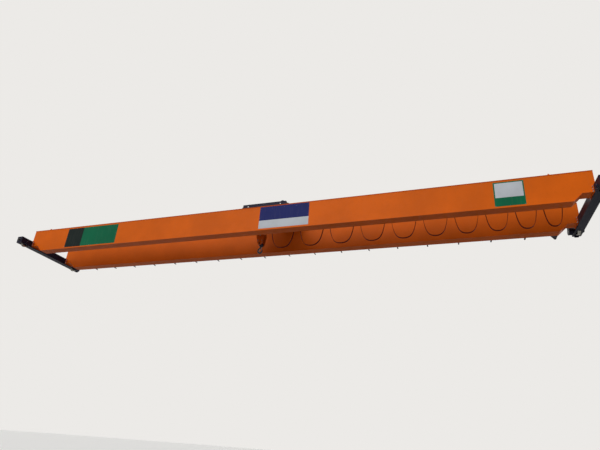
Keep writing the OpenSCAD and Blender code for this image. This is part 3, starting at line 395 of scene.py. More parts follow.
def moulded_rubber(name, paint):
    """Moulded rubber: very dark, matt, with a grain about 5 mm across and dust in it."""
    material, add, place = new_material(name)
    pores = add("TexNoise", dict(zip(GRAIN, (place, 200.0, 4.0, 0.55))))
    dust = patches(add, (place, 20.0, 5.0), 0.4, 0.8, 0.0, 0.35)
    colour = add("Mix", {0: dust, 6: linear(paint), 7: linear(GRIME)}, **COLOUR)
    matt = add("MapRange", [pores, 0.2, 0.8, 0.6, 0.85], **SMOOTH)
    shade(add, colour, matt, (pores, 0.0004, 0.3))
    return material


def forged_black(name, paint):
    """Drop-forged steel under black enamel: soft dents, worn to metal in the seat of the hook."""
    material, add, place = new_material(name)
    # Dents are 35 mm across. The seat lies 205 mm under the crosshead and is worn 60 mm around
    dents = add("TexNoise", dict(zip(GRAIN, (place, 28.0, 5.0, 0.6))))
    seat = (HOOK_X, 0, CROSSHEAD_LOW.z - 0.205)
    away = add("VectorMath", [place, seat], "Value", operation="DISTANCE")
    rubbed = add("MapRange", [away, 0.075, 0.055], **SMOOTH)
    worn = add("Math", [rubbed, add("MapRange", [dents, 0.42, 0.6], **SMOOTH)], **TIMES)
    cloud = add("MapRange", [dents, 0.3, 0.75], **SMOOTH)
    black = add("Mix", {0: cloud, 6: linear(paint), 7: tinted(paint, 1.8)}, **COLOUR)
    colour = add("Mix", {0: worn, 6: black, 7: linear(colours().steel)}, **COLOUR)
    sheen = add("MapRange", [dents, 0.2, 0.8, 0.38, 0.6], **SMOOTH)
    shade(add, colour, sheen, (dents, 0.002, 0.5), Metallic=worn, Specular_IOR_Level=0.2)
    return material


def powder_coat(name, paint):
    """Polyester powder coat on sheet steel: even, with a fine leather texture and dust on top."""
    material, add, place = new_material(name)
    shadows = patches(add, (place, 4.0, 4.0), 0.3, 0.75)
    colour = add("Mix", {0: shadows, 6: tinted(paint, 0.85), 7: tinted(paint, 1.08)}, **COLOUR)
    cover = add("Math", [facing_up(add, 0.6, 0.98), 0.4], **TIMES)
    colour = add("Mix", {0: cover, 6: colour, 7: linear(BOX_DUST)}, **COLOUR)
    # The leather texture is 1 mm; it is drawn 4 mm wide so that it shows
    leather = add("TexNoise", dict(zip(GRAIN, (place, 250.0, 2.0, 0.55))))
    sheen = add("MapRange", [leather, 0.2, 0.8, 0.42, 0.58], **SMOOTH)
    shade(add, colour, sheen, (leather, 0.0006, 0.4))
    return material


def board_film(name, paint):
    """Plastic film on aluminium sheet: smooth and slightly glossy, with thin dust streaks."""
    material, add, place = new_material(name)
    bleached = patches(add, (place, 1.2, 3.0), 0.3, 0.7)
    colour = add("Mix", {0: bleached, 6: tinted(paint, 0.9), 7: tinted(paint, 1.08)}, **COLOUR)
    # Streaks are 40 mm wide and half a metre long
    down = add("Mapping", {"Vector": place, "Scale": (1, 1, 0.08)})
    streaks = patches(add, (down, 25.0, 5.0, 0.6), 0.52, 0.85)
    thin = add("Math", [streaks, 0.10], **TIMES)
    colour = add("Mix", {0: thin, 6: colour, 7: linear(BOARD_DUST)}, **COLOUR)
    sheen = add("MapRange", [streaks, 0.0, 1.0, 0.30, 0.5], **SMOOTH)
    # Sheet lies in shallow waves about 300 mm long
    waves = add("TexNoise", dict(zip(GRAIN, (place, 3.3, 1.0, 0.55))))
    shade(add, colour, sheen, (waves, 0.002, 0.5), IOR=1.42, Specular_IOR_Level=0.06)
    return material


# Maker, material name, colour, then for enamel: dust, roughness and distance between diaphragms
FINISHES = {
    "girder": (sprayed_enamel, "Alkyd enamel, orange on plate", "girder", 0.55, 0.42),
    "web": (sprayed_enamel, "Alkyd enamel, orange on welded web", "girder", 0.55, 0.42, 1.0),
    "truck": (sprayed_enamel, "Alkyd enamel, navy on castings", "truck", 0.45, 0.38),
    "rail": (rolled_rail, "Rolled steel bar, running band", "rust"),
    "steel": (turned_steel, "Turned steel", "steel"),
    "zinc": (zinc_coated, "Galvanised steel", "zinc"),
    "rope": (greased_rope, "Greased wire rope", "rope"),
    "cable": (neoprene_sheath, "Extruded neoprene", "cable"),
    "rubber": (moulded_rubber, "Moulded rubber", "rubber"),
    "hook": (forged_black, "Black enamel on forging", "hook"),
    "enclosure": (powder_coat, "Powder coat on sheet", "enclosure"),
    "green": (board_film, "Board film, green", "board_green"),
    "navy": (board_film, "Board film, navy", "board_navy"),
    "dark": (board_film, "Board film, blackish green", "board_dark"),
    "grey": (board_film, "Board film, pale grey", "board_grey"),
}


def finish(name):
    """One shared material, made when first asked for."""
    make, title, paint, *rest = FINISHES[name]
    material = bpy.data.materials.get(title)
    return material or make(title, getattr(colours(), paint), *rest)


# Mesh helpers

def make_piece(name, mesh, material, body, smooth=False):
    """Turns a bmesh into an object with one finish that rides on a body."""
    data = bpy.data.meshes.new(name)
    bmesh.ops.recalc_face_normals(mesh, faces=mesh.faces)
    mesh.to_mesh(data)
    mesh.free()
    data.materials.append(finish(material))
    if smooth:
        data.shade_smooth()
    piece = bpy.data.objects.new(name, data)
    bpy.context.scene.collection.objects.link(piece)
    if body:
        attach(piece, body)
    return piece


def add_block(mesh, low, high, bevel=0.0):
    """A block between two corners, its edges broken by the bevel."""
    low, high = Vector(low), Vector(high)
    made = bmesh.ops.create_cube(mesh, size=1.0)["verts"]
    bmesh.ops.scale(mesh, vec=high - low, verts=made)
    bmesh.ops.translate(mesh, vec=(high + low) / 2, verts=made)
    if bevel:
        sharp = list(dict.fromkeys(e for v in made for e in v.link_edges))
        bmesh.ops.bevel(mesh, geom=sharp, offset=bevel, segments=2, affect="EDGES", profile=0.6)


def arc(cx, cz, radius, start, end, steps):
    """Points on an arc between two angles in degrees."""
    turns = (math.radians(start + (end - start) * k / steps) for k in range(steps + 1))
    return [(cx + radius * math.cos(a), cz + radius * math.sin(a)) for a in turns]


def around(radius, count, start=0):
    """Points evenly round a circle."""
    return arc(0, 0, radius, start, start + 360, count)[:-1]


def add_turned(mesh, profile, place, axis, sides=24):
    """A turned form: (radius, height) points about an axis through place."""
    turn = Vector(axis).normalized().to_track_quat("Z", "Y").to_matrix()
    rings = []
    for radius, height in profile:
        spokes = around(radius, sides) if radius else [(0, 0)]
        rings.append([mesh.verts.new(Vector(place) + turn @ Vector((x, y, height)))
                      for x, y in spokes])
    for a, b in zip(rings, rings[1:]):
        for k in range(sides):
            j = (k + 1) % sides
            corners = [a[k % len(a)], a[j % len(a)], b[j % len(b)], b[k % len(b)]]
            corners = list(dict.fromkeys(corners))
            if len(corners) > 2:
                mesh.faces.new(corners)


def add_bolt(mesh, place, axis, thread):
    """Hexagon head with a chamfer on a round washer, sized from its thread."""
    head, washer = thread * 0.85, thread * 1.05
    thick, height = thread * 0.18, thread * 0.65
    add_turned(mesh, [(0, 0), (washer, 0), (washer, thick), (0, thick)], place, axis, 16)
    add_turned(mesh, [(head, thick), (head, thick + height * 0.8), (head * 0.88, thick + height),
                      (0, thick + height)], place, axis, 6)


def add_bolts(name, body, thread, places):
    """One piece of like bolts, each given by its place and axis."""
    mesh = bmesh.new()
    for place, axis in places:
        add_bolt(mesh, place, axis, thread)
    make_piece(name, mesh, "zinc", body)


def carried_frames(path):
    """Point and two side directions along a path, turned as little as possible."""
    count = len(path)
    tangents = [(path[min(i + 1, count - 1)] - path[max(i - 1, 0)]).normalized()
                for i in range(count)]
    side = tangents[0].orthogonal().normalized()
    frames = []
    for i, tangent in enumerate(tangents):
        if i:
            side = (tangents[i - 1].rotation_difference(tangent) @ side).normalized()
        side = (side - tangent * side.dot(tangent)).normalized()
        frames.append((path[i], side, tangent.cross(side)))
    return frames


def add_sweep(mesh, rings):
    """Skins rings of equal length, each a list of points, and closes both ends."""
    made = [[mesh.verts.new(p) for p in ring] for ring in rings]
    count = len(made[0])
    for a, b in zip(made, made[1:]):
        for k in range(count):
            j = (k + 1) % count
            mesh.faces.new((a[k], a[j], b[j], b[k]))
    mesh.faces.new(made[0][::-1])
    mesh.faces.new(made[-1])


def fillet(x, y, z, way, up, leg, belly):
    """Section of a weld in a corner that opens towards way and up."""
    return [(x, y, z), (x, y + way * leg, z),
            (x, y + way * leg * belly, z + up * leg * belly), (x, y, z + up * leg)]


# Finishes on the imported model

NODE_FINISH = {
    "web": "near_girder_webs far_girder_webs",
    "girder": """near_girder_top_flange near_girder_bottom_flange far_girder_top_flange
        far_girder_bottom_flange girder_end_plates girder_seats rail_stops festoon_arms
        equaliser_sheave rope_drum block_plates block_sheaves""",
    "truck": """foot_brackets left_end_truck right_end_truck truck_end_plates wheel_bearings
        left_travel_drive right_travel_drive near_side_beam far_side_beam trolley_cross_beams
        winch_bearers trolley_deck equaliser_beam near_trolley_drive far_trolley_drive
        drum_bearing hoist_gearbox hoist_motor crosshead""",
    "rail": "near_trolley_rail far_trolley_rail",
    "steel": """near_left_wheel far_left_wheel near_right_wheel far_right_wheel trolley_wheels
        block_pin hook_nut""",
    "zinc": "festoon_rail festoon_carriers festoon_tow_arm hook_latch",
    "rubber": "truck_buffers trolley_buffers",
    "rope": "rope_windings hoist_ropes",
    "cable": "festoon_cable",
    "hook": "hook",
    "enclosure": "control_box festoon_end_box",
}


class CRANE_OT_paint_frame(bpy.types.Operator):
    """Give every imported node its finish"""

    bl_idname = "crane.paint_frame"
    bl_label = "Paint frame"

    def execute(self, context):
        left = dict(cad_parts)
        for name, nodes in NODE_FINISH.items():
            for node in nodes.split():
                data = left.pop(node).data
                data.materials.clear()
                data.materials.append(finish(name))
        if left:
            raise RuntimeError("no finish for " + ", ".join(sorted(left)))
        return {"FINISHED"}


class CRANE_OT_girder_welds(bpy.types.Operator):
    """Fillet welds between webs and flanges, along the bent underside too"""

    bl_idname = "crane.girder_welds"
    bl_label = "Girder welds"

    def execute(self, context):
        leg = sizes().weld_leg
        low, raised = FOOT_LOW.z + FLANGE_T, FOOT_HIGH.z
        half_foot = [(HALF_LEN - BEND_IN, low), (HALF_LEN - BEND_OUT, raised),
                     (FOOT_HIGH.x, raised)]
        under = [(-x, z) for x, z in reversed(half_foot)] + half_foot
        over = [(-HALF_LEN, WEB_HIGH.z), (HALF_LEN, WEB_HIGH.z)]
        half_box = (WEB_HIGH.y - WEB_LOW.y) / 2
        for number, (girder, way) in enumerate(product((GIRDER_Y, -GIRDER_Y), (-1, 1))):
            mesh = bmesh.new()
            for path, up in ((under, 1), (over, -1)):
                add_sweep(mesh, [fillet(x, girder + way * half_box, z, way, up, leg, 0.55)
                                 for x, z in path])
            make_piece("girder_weld_%d" % (number + 1), mesh, "girder", "bridge")
        return {"FINISHED"}


class CRANE_OT_rail_stitches(bpy.types.Operator):
    """Stitch welds that hold the trolley rails to the girder tops"""

    bl_idname = "crane.rail_stitches"
    bl_label = "Rail stitches"

    def execute(self, context):
        leg, length, pitch = sizes().weld_leg, sizes().stitch_len, sizes().stitch_pitch
        half = (RAIL_HIGH.y - RAIL_LOW.y) / 2
        count = int((RAIL_HIGH.x - RAIL_LOW.x - length) / pitch)
        swell = (0.3, 1, 0.85, 1, 0.85, 1, 0.3)
        for number, girder in enumerate((GIRDER_Y, -GIRDER_Y)):
            mesh = bmesh.new()
            for way, i in product((-1, 1), range(count + 1)):
                start = (i - count / 2) * pitch - length / 2
                add_sweep(mesh, [fillet(start + k * length / 6, girder + way * half, RAIL_LOW.z,
                                        way, 1, leg * grow, 0.6) for k, grow in enumerate(swell)])
            make_piece("rail_stitches_%d" % (number + 1), mesh, "girder", "bridge")
        return {"FINISHED"}


class CRANE_OT_boards(bpy.types.Operator):
    """Three bare sheet boards riveted to the near girder"""

    bl_idname = "crane.boards"
    bl_label = "Boards"

    def execute(self, context):
        face, sheet = WEB_LOW.y, sizes().board_t
        for name, (film, x0, x1, z0, z1, proud) in BOARD_FIELDS.items():
            mesh = bmesh.new()
            add_block(mesh, (x0, face - sheet * proud, z0), (x1, face - 0.0002, z1), 0.0008)
            make_piece(name, mesh, film, "bridge")
        mesh = bmesh.new()
        margin, pitch, rows = 0.02, 0.4, 2
        domed = [(0.006, 0), (0.0055, 0.001), (0.0035, 0.0022), (0, 0.0028)]
        for x0, x1, z0, z1 in RIVETED:
            columns = max(2, round((x1 - x0) / pitch))
            for i, j in product(range(columns + 1), range(rows + 1)):
                if i in (0, columns) or j in (0, rows):
                    x = x0 + margin + i * (x1 - x0 - 2 * margin) / columns
                    z = z0 + margin + j * (z1 - z0 - 2 * margin) / rows
                    add_turned(mesh, domed, (x, face - sheet * 1.35, z), (0, -1, 0), 12)
        make_piece("board_rivets", mesh, "zinc", "bridge", True)
        return {"FINISHED"}


class CRANE_OT_truck_fasteners(bpy.types.Operator):
    """Bolts of the seats, bearing housings and buffers"""

    bl_idname = "crane.truck_fasteners"
    bl_label = "Truck fasteners"

    def execute(self, context):
        seats, ear_y, rows, inset = [], 0.180, (0.130, 0.205, 0.280), 0.030
        for end, girder, ear in product((-1, 1), (GIRDER_Y, -GIRDER_Y), (-ear_y, ear_y)):
            y = girder + ear
            seats += [((end * FOOT_HIGH.x, y, z), (-end, 0, 0)) for z in rows]
            seats.append(((end * (HALF_LEN - inset), y, SEAT_TOP), (0, 0, 1)))
        add_bolts("seat_bolts", "bridge", sizes().seat_bolt, seats)
        truck_x, half_w = (TRUCK_LOW.x + TRUCK_HIGH.x) / 2, (TRUCK_HIGH.x - TRUCK_LOW.x) / 2
        wheel_y, wheel_z = (WHEEL_LOW.y + WHEEL_HIGH.y) / 2, (WHEEL_LOW.z + WHEEL_HIGH.z) / 2
        face, circle_r = half_w + 0.012, 0.0625
        add_bolts("bearing_bolts", "bridge", sizes().bearing_bolt * 0.8, [
            ((end * truck_x + cheek * face, y + dy, wheel_z + dz), (cheek, 0, 0))
            for end, y, cheek in product((-1, 1), (wheel_y, -wheel_y), (-1, 1))
            for dy, dz in around(circle_r, 6, 30)])
        truck_z = (TRUCK_LOW.z + TRUCK_HIGH.z) / 2
        face, circle_r = TRUCK_HIGH.y + 0.024, 0.0535
        add_bolts("buffer_bolts", "bridge", 0.006, [
            ((end * truck_x + dx, way * face, truck_z + dz), (0, way, 0))
            for end, way in product((-1, 1), (-1, 1)) for dx, dz in around(circle_r, 4, 45)])
        return {"FINISHED"}


def support_x(i):
    """Place of cable support i: the tow arm is 0 and the end box is the last."""
    step = (LOOPS * FIRST_PITCH - (FESTOON_END - TOW_X)) / sum(k * k for k in range(LOOPS))
    return TOW_X + sum(FIRST_PITCH - step * k * k for k in range(i))


def loop_ends(i):
    """Where loop i hangs from at rest: clamps at the first and last end, saddles between."""
    half = sizes().cable_t / 2
    return (support_x(i) + half + (CLAMP_R if i == 0 else SADDLE_R),
            support_x(i + 1) - half - (CLAMP_R if i == LOOPS - 1 else SADDLE_R))


def share(i):
    """How much of the trolley's travel support i makes.

    At the right limit every loop is closed to one width, and carriers stand side by side. The
    first and last loop keep a little more, to clear the clamps.
    """
    widths = [right - left for left, right in (loop_ends(k) for k in range(LOOPS))]
    clear = 0.013
    closed = [(sum(widths) - TRAVEL_RIGHT - 2 * clear) / LOOPS] * LOOPS
    closed[0] += clear
    closed[-1] += clear
    return (sum(widths[i:]) - sum(closed[i:])) / TRAVEL_RIGHT


def along(fraction):
    low, high = 0.0, 1.0
    for _ in range(60):
        mid = (low + high) / 2
        if mid * mid * (3 - 2 * mid) < fraction:
            low = mid
        else:
            high = mid
    return (low + high) / 2


def ribbed_section(width, thick, cores):
    """Outline of two flat cables lying on each other, each with a rib for every core."""
    half, pitch = width / 2, width / cores
    rib = ((0.06, 0.72), (0.28, 0.98), (0.72, 0.98), (0.94, 0.72))
    top = [(-half + (c + u) * pitch, thick / 2 * lift) for c in range(cores) for u, lift in rib]
    edge = [(half, thick * 0.18), (half - 0.0012, 0.0), (half, -thick * 0.18)]
    return top + edge + [(-w, -t) for w, t in top + edge]


def steps_along(path):
    """Each point of an (x, z) path with its unit direction."""
    for i, (x, z) in enumerate(path):
        (ax, az), (bx, bz) = path[max(i - 1, 0)], path[min(i + 1, len(path) - 1)]
        size = math.hypot(bx - ax, bz - az)
        yield x, z, (bx - ax) / size, (bz - az) / size


def cable_run(name, path):
    """Flat cable along (x, z) points in the festoon plane."""
    section = ribbed_section(sizes().cable_w, sizes().cable_t, sizes().cores)
    mesh = bmesh.new()
    add_sweep(mesh, [[(x - dz * t, FESTOON_Y + w, z + dx * t) for w, t in section]
                     for x, z, dx, dz in steps_along(path)])
    piece = make_piece(name, mesh, "cable", None, True)
    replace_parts(piece, "festoon_cable")
    return piece


def loop_share(piece, i):
    """Works out the shares of a loop's two supports, and of its lowest point by their mean, but
    uses none of them; it only bakes the loop's transform.
    """
    a, b = along(share(i)), along(share(i + 1))
    lowest = along((share(i) + share(i + 1)) / 2)
    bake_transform(piece)


def rigid_share(piece, fraction):
    """Bakes a rigid piece's transform and does not move it; the fraction of the travel is not used.
    """
    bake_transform(piece)


def loop_points(i):
    """Catenary of loop i; its points lie closer together where it is steep."""
    left, right = loop_ends(i)
    width, middle = (right - left) / 2, (right + left) / 2
    half, knee = 26, 13
    path = []
    for k in range(-half, half + 1):
        u = math.sin(math.pi / 2 * k / half) if abs(k) > knee else k * math.sqrt(0.5) / knee
        rise = (math.cosh(FULLNESS * u) - 1) / (math.cosh(FULLNESS) - 1)
        path.append((middle + width * u, LOOP_BOTTOM + (SADDLE_Z - LOOP_BOTTOM) * rise))
    if i == 0:
        path[0] = (left, SADDLE_Z - 0.020)
    if i == LOOPS - 1:
        path[-1] = (FESTOON_END - CLAMP_R, SADDLE_Z - 0.060)
    return path


class CRANE_OT_festoon(bpy.types.Operator):
    """Looped flat cable and the carriers that hold it"""

    bl_idname = "crane.festoon"
    bl_label = "Festoon"

    def execute(self, context):
        for i in range(LOOPS):
            path = loop_points(i)
            run = cable_run("festoon_loop_%d" % (i + 1), path)
            loop_share(run, i)
        for i in range(1, LOOPS):
            x = support_x(i)
            over = arc(x, SADDLE_Z, SADDLE_R + sizes().cable_t / 2, 180, 0, 16)
            rigid_share(cable_run("festoon_saddle_cable_%d" % i, over), share(i))
            mesh = bmesh.new()
            self.carrier(mesh, x)
            piece = make_piece("festoon_carrier_%d" % i, mesh, "zinc", None)
            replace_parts(piece, "festoon_carriers")
            rigid_share(piece, share(i))
        return {"FINISHED"}

    def carrier(self, mesh, x):
        """Bent saddle, hanger with two bolts, and two rollers on each side inside the rail."""
        y, rail = FESTOON_Y, C_RAIL_UNDER
        outer, inner, half = SADDLE_R - 0.0013, SADDLE_R - 0.0073, 0.033
        curves = (arc(x, SADDLE_Z, radius, 180, 0, 16) for radius in (outer, inner))
        add_sweep(mesh, [[(ox, y - half, oz), (ox, y + half, oz),
                          (ix, y + half, iz), (ix, y - half, iz)]
                         for (ox, oz), (ix, iz) in zip(*curves)])
        # Strap beside the cable, its arm over the cable, and the web that goes up into the rail
        strap, web, t = 0.020, 0.015, 0.004
        back = y + sizes().cable_w / 2 + 0.001
        front, under, over = back + 0.003, rail - 0.009, rail - 0.005
        for low, high in (
            ((x - strap, back, SADDLE_Z + outer - 0.0127), (x + strap, front, over)),
            ((x - strap, y - t, under), (x + strap, front, over)),
            ((x - web, y - t, under), (x + web, y + t, rail + 0.018)),
        ):
            add_block(mesh, low, high, 0.0006)
        roller = [(0.006, 0.0045), (0.011, 0.006), (0.011, 0.0125), (0.010, 0.014), (0, 0.014)]
        pair = [(radius, -height) for radius, height in reversed(roller)] + roller
        for way in (-1, 1):
            add_turned(mesh, pair, (x + way * 0.013, y, rail + 0.015), (0, 1, 0), 20)
        for way in (-1, 1):
            add_bolt(mesh, (x + way * 0.010, front, rail - 0.024), (0, 1, 0), 0.005)


def strand_rings(path, lay, diameter, lobes=6, points=18):
    """Rings of a laid rope: a lobed outline that turns once in each lay length."""
    rings, run, last = [], 0.0, path[0]
    for place, side, up in carried_frames(path):
        run += (place - last).length
        last = place
        twist = 2 * math.pi * run / lay
        ring = []
        for k in range(points):
            a = 2 * math.pi * k / points
            r = diameter / 2 * (0.86 + 0.14 * abs(math.cos(lobes * a / 2)))
            ring.append(place + side * (r * math.cos(a + twist)) + up * (r * math.sin(a + twist)))
        rings.append(ring)
    return rings


def evened(points, step):
    """The same path with points a step apart."""
    out, carry = [points[0]], 0.0
    for a, b in zip(points, points[1:]):
        length = (b - a).length
        if length < 1e-9:
            continue
        at = step - carry
        while at <= length:
            out.append(a.lerp(b, at / length))
            at += step
        carry = length - (at - step)
    if (out[-1] - points[-1]).length > step * 0.2:
        out.append(points[-1])
    return out


class CRANE_OT_wire_rope(bpy.types.Operator):
    """Wire rope: four falls in one length, and the turns on the drum"""

    bl_idname = "crane.wire_rope"
    bl_label = "Wire rope"

    def execute(self, context):
        self.falls()
        for way, name in ((-1, "near"), (1, "far")):
            self.coil(way, name)
        self.clamps()
        return {"FINISHED"}

    def falls(self):
        """From the drum round a block sheave, over the equaliser, and back the same way."""
        left, right = HOOK_X - SHEAVE_R, HOOK_X + SHEAVE_R
        sheave = arc(HOOK_X, BLOCK_Z, SHEAVE_R, 0, -180, 60)
        down = [(right, DRUM_Z)] + sheave + [(left, EQUALISER_Z)]
        near, far = ([Vector((x, y, z)) for x, z in down] for y in (-FALL_Y, FALL_Y))
        top = [Vector((left, y, z)) for y, z in arc(0, EQUALISER_Z, FALL_Y, 180, 0, 40)[1:-1]]
        path = evened(near + top + far[::-1], 0.004)
        mesh = bmesh.new()
        add_sweep(mesh, strand_rings(path, sizes().rope_lay, sizes().rope_d))
        falls = make_piece("rope_falls", mesh, "rope", None, True)
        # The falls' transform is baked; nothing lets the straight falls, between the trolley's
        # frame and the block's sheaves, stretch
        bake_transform(falls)
        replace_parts(falls, "hoist_ropes")

    def coil(self, way, name):
        """Turns of rope on one half of the drum, from the falls out to the drum's end."""
        pitch, steps, section = 0.014, 40, around(sizes().rope_d / 2, 8)
        turns = (COIL_END - FALL_Y) / pitch - 0.6
        rings = []
        for i in range(int(turns * steps) + 1):
            a = math.pi - 2 * math.pi * i / steps
            out = Vector((math.cos(a), 0, math.sin(a)))
            centre = Vector((DRUM_X, way * (FALL_Y + pitch * i / steps), DRUM_Z)) + out * DRUM_R
            rings.append([centre + out * lift + Vector((0, aside, 0)) for lift, aside in section])
        mesh = bmesh.new()
        add_sweep(mesh, rings)
        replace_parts(make_piece("drum_rope_" + name, mesh, "rope", "trolley", True),
                    "rope_windings")

    def clamps(self):
        """Two bolted clamps hold the rope's end on each side of the drum."""
        plate = [(0, 0), (0.015, 0), (0.015, 0.006), (0.012, 0.009), (0, 0.009)]
        mesh = bmesh.new()
        for way, turn in product((-1, 1), (40, 70)):
            a = math.radians(turn)
            out = Vector((math.cos(a), 0, math.sin(a)))
            place = Vector((DRUM_X, way * (COIL_END + 0.004), DRUM_Z)) + out * (DRUM_R - 0.006)
            add_turned(mesh, plate, place, out, 16)
            add_bolt(mesh, place + out * 0.009, out, 0.010)
        make_piece("rope_clamps", mesh, "zinc", "trolley")


class CRANE_OT_hook(bpy.types.Operator):
    """Forged point hook with its threaded shank"""

    bl_idname = "crane.hook"
    bl_label = "Hook"

    def execute(self, context):
        cross_z = (CROSSHEAD_LOW.z + CROSSHEAD_HIGH.z - 0.022) / 2
        neck_z, mouth_z = cross_z - 0.100, cross_z - 0.240
        mesh = bmesh.new()
        self.bowl(mesh, neck_z, mouth_z)
        self.shank(mesh, neck_z)
        # Lug that carries the latch
        add_block(mesh, (HOOK_X + 0.022, -0.008, neck_z - 0.022),
                  (HOOK_X + 0.044, 0.008, neck_z - 0.004), 0.002)
        piece = make_piece("forged_hook", mesh, "hook", "load_hook", True)
        piece.data.set_sharp_from_angle(angle=math.radians(40))
        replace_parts(piece, "hook")
        return {"FINISHED"}

    def bowl(self, mesh, neck_z, mouth_z):
        """Neck that swings back from the shank's axis, then the bowl round the mouth.

        It is deepest at the bottom and thinnest at the point.
        """
        mouth, neck_steps, bowl_steps = 0.050, 20, 72
        spine, sections = [], []
        for i in range(neck_steps):
            t = i / neck_steps
            back = (mouth + 0.029) * t * t * (3 - 2 * t)
            spine.append((-back, neck_z + (mouth_z - neck_z) * t))
            sections.append((0.060 - 0.002 * t, 0.060 - 0.010 * t))
        for i in range(bowl_steps + 1):
            turned = 205 * i / bowl_steps
            depth, width = 0.058 + 0.016 * turned / 90, 0.050
            if turned > 90:
                t = (turned - 90) / 115
                depth, width = 0.074 - 0.036 * t, 0.050 - 0.020 * t
            spine += arc(0, mouth_z, mouth + depth / 2, 180 + turned, 0, 1)[:1]
            sections.append((depth, width))
        rings = []
        for i, (x, z, dx, dz) in enumerate(steps_along(spine)):
            depth, width = sections[i]
            if i == 0:
                dx, dz = 0.0, -1.0
            rings.append([(HOOK_X + x - dz * depth / 2 * c, width / 2 * s, z + dx * depth / 2 * c)
                          for c, s in around(1, 32)])
        add_sweep(mesh, rings)

    def shank(self, mesh, neck_z):
        """Round shank with a thread of 4 mm pitch at its top."""
        start, root, crest = SHANK_TOP - 0.050, 0.0275, 0.0297
        profile = [(0.030, neck_z - 0.001), (0.030, start)]
        z = start
        while z < SHANK_TOP - 0.006:
            profile += [(root, z + 0.001), (crest, z + 0.003)]
            z += 0.004
        profile += [(root, SHANK_TOP - 0.003), (0.025, SHANK_TOP), (0, SHANK_TOP)]
        add_turned(mesh, profile, (HOOK_X, 0, 0), (0, 0, 1), 40)


class CRANE_OT_trolley_fittings(bpy.types.Operator):
    """Bolts on the trolley and hook block, and the door of the control box"""

    bl_idname = "crane.trolley_fittings"
    bl_label = "Trolley fittings"

    def execute(self, context):
        self.doors()
        mesh = bmesh.new()
        gland = [(0, 0), (0.014, 0), (0.014, 0.006), (0.012, 0.007), (0.012, 0.020), (0.007, 0.024),
                 (0, 0.024)]
        x, y, z = CONTROL_LOW.x + 0.07, CONTROL_HIGH.y - 0.008, CONTROL_LOW.z + 0.06
        pitch = 0.055
        for k in range(5):
            add_turned(mesh, gland, (x + k * pitch, y, z), (0, 1, 0), 16)
        make_piece("control_box_glands", mesh, "rubber", "trolley", True)
        plates = ((PLATE_HIGH.y, 1), (PLATE_LOW.y, -1))
        rows, columns = (-0.175, -0.225), (-0.075, 0.075)
        add_bolts("block_bolts", "hook_block", 0.012, [
            ((HOOK_X + x, y, BLOCK_Z + z), (0, way, 0))
            for (y, way), z, x in product(plates, rows, columns)])
        bearing_y, foot_t = -0.540, 0.018
        add_bolts("bearing_feet_bolts", "trolley", 0.014, [
            ((DRUM_X + x, bearing_y, BEAM_TOP + foot_t), (0, 0, 1)) for x in (-0.068, 0.068)])
        return {"FINISHED"}

    def doors(self):
        """Two doors, each with two hinges on its left and a handle on its right."""
        low, high = CONTROL_LOW, CONTROL_HIGH
        y, z0, z1 = low.y + 0.008, low.z + 0.012, high.z - 0.020
        middle, lock_z, seam, rim = (low.x + high.x) / 2, (z0 + z1) / 2, 0.003, 0.016
        hinge = [(0, -0.02), (0.005, -0.02), (0.005, 0.02), (0, 0.02)]
        mesh = bmesh.new()
        for x0, x1 in ((low.x + rim, middle - seam), (middle + seam, high.x - rim)):
            add_block(mesh, (x0, y - 0.006, z0), (x1, y + 0.001, z1), 0.002)
            for z in (z0 + 0.04, z1 - 0.04):
                add_turned(mesh, hinge, (x0 + 0.004, y - 0.0075, z), (0, 0, 1), 12)
            add_block(mesh, (x1 - 0.030, y - 0.012, lock_z - 0.03),
                      (x1 - 0.016, y - 0.006, lock_z + 0.03), 0.002)
        make_piece("control_box_doors", mesh, "enclosure", "trolley")


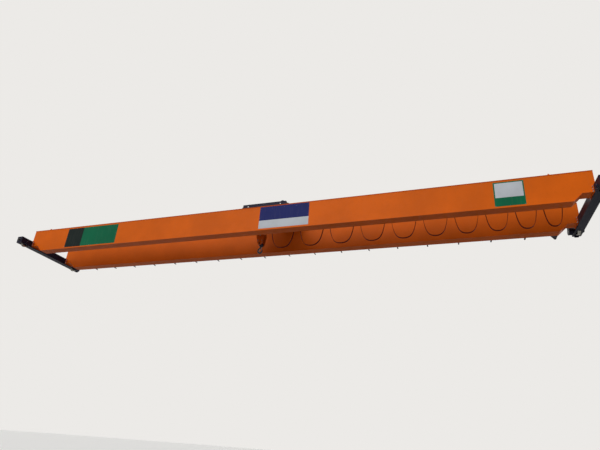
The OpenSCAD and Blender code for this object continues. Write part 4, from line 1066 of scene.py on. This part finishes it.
class CRANE_OT_stage(bpy.types.Operator):
    """Pale floor, soft light and the camera at the photograph's angle"""

    bl_idname = "crane.stage"
    bl_label = "Stage"

    def execute(self, context):
        context.scene.view_settings.view_transform = "Standard"
        self.floor(context.scene)
        self.lights(context.scene)
        self.camera(context.scene)
        return {"FINISHED"}

    def floor(self, scene):
        """Plain floor below the raised crane: pale to the camera, mid grey to bounced light."""
        mesh = bmesh.new()
        bmesh.ops.create_grid(mesh, x_segments=1, y_segments=1, size=FLOOR_HALF)
        data = bpy.data.meshes.new("studio_floor")
        mesh.to_mesh(data)
        mesh.free()
        piece = bpy.data.objects.new("studio_floor", data)
        piece.location = (0, 0, FLOOR_Z)
        scene.collection.objects.link(piece)
        material, add, _ = new_material("Studio floor, matt paint")
        shown = {0: seen_directly(add), 6: linear("#8c8a86"), 7: linear(colours().floor)}
        shade(add, add("Mix", shown, **COLOUR), 0.9)
        data.materials.append(material)

    def lights(self, scene):
        """Fill from the world, which looks pale, and three soft suns."""
        world = bpy.data.worlds.new("studio")
        scene.world = world
        world.use_nodes = True
        world.node_tree.nodes.clear()
        add = partial(add_node, world.node_tree)
        fill = add("Background", {"Color": linear("#dfe3e8"), "Strength": 0.30})
        back = add("Background", {"Color": linear("#eceae7"), "Strength": 1.0})
        add("OutputWorld", {"Surface": add("MixShader", [seen_directly(add), fill, back])})
        for name, strength, spread, aim in SUNS:
            lamp = bpy.data.lights.new("studio_" + name, "SUN")
            lamp.energy = strength
            lamp.angle = math.radians(spread)
            holder = bpy.data.objects.new("studio_" + name, lamp)
            holder.rotation_mode = "QUATERNION"
            holder.rotation_quaternion = Vector(aim).to_track_quat("-Z", "Y")
            scene.collection.objects.link(holder)

    def camera(self, scene):
        """Eye height 1.6 m above the floor, looking up and a little tilted."""
        yaw, pitch, roll = CAMERA_YAW, CAMERA_PITCH, CAMERA_ROLL
        forward = Vector((math.sin(yaw) * math.cos(pitch), math.cos(yaw) * math.cos(pitch),
                          math.sin(pitch)))
        level = Vector((math.cos(yaw), -math.sin(yaw), 0))
        above = level.cross(forward)
        right = math.cos(roll) * level + math.sin(roll) * above
        up = -math.sin(roll) * level + math.cos(roll) * above
        data = bpy.data.cameras.new("camera")
        data.lens, data.sensor_width = sizes().lens, 36.0
        data.shift_y = CAMERA_SHIFT
        data.clip_start, data.clip_end = 0.1, 1000
        camera = bpy.data.objects.new("camera", data)
        turn = Matrix((right, up, -forward)).transposed().to_4x4()
        camera.matrix_world = Matrix.Translation(CAMERA_PLACE) @ turn
        scene.collection.objects.link(camera)
        scene.camera = camera


OPERATORS = (
    CRANE_OT_paint_frame, CRANE_OT_girder_welds, CRANE_OT_rail_stitches, CRANE_OT_boards,
    CRANE_OT_truck_fasteners, CRANE_OT_festoon, CRANE_OT_wire_rope, CRANE_OT_hook,
    CRANE_OT_trolley_fittings, CRANE_OT_stage,
)


class CRANE_PT_dressing(bpy.types.Panel):
    """Sidebar panel that lists the crane's sizes, colours and pieces"""

    bl_idname = "CRANE_PT_dressing"
    bl_label = "Overhead crane"
    bl_space_type = "VIEW_3D"
    bl_region_type = "UI"
    bl_category = "Crane"

    def draw(self, context):
        for group in (context.scene.crane_sizes, context.scene.crane_colours):
            box = self.layout.box()
            for key in group.__annotations__:
                box.prop(group, key)
        for operator in OPERATORS:
            self.layout.operator(operator.bl_idname)


CLASSES = (CraneColours, CraneSizes) + OPERATORS + (CRANE_PT_dressing,)


def register():
    for cls in CLASSES:
        bpy.utils.register_class(cls)
    bpy.types.Scene.crane_colours = PointerProperty(type=CraneColours)
    bpy.types.Scene.crane_sizes = PointerProperty(type=CraneSizes)


def unregister():
    del bpy.types.Scene.crane_sizes
    del bpy.types.Scene.crane_colours
    for cls in reversed(CLASSES):
        bpy.utils.unregister_class(cls)


def main():
    register()
    bpy.ops.crane.stage()
    bpy.ops.crane.paint_frame()
    bpy.ops.crane.girder_welds()
    bpy.ops.crane.rail_stitches()
    bpy.ops.crane.boards()
    bpy.ops.crane.truck_fasteners()
    bpy.ops.crane.festoon()
    bpy.ops.crane.wire_rope()
    bpy.ops.crane.hook()
    bpy.ops.crane.trolley_fittings()


if __name__ == "__main__":
    main()
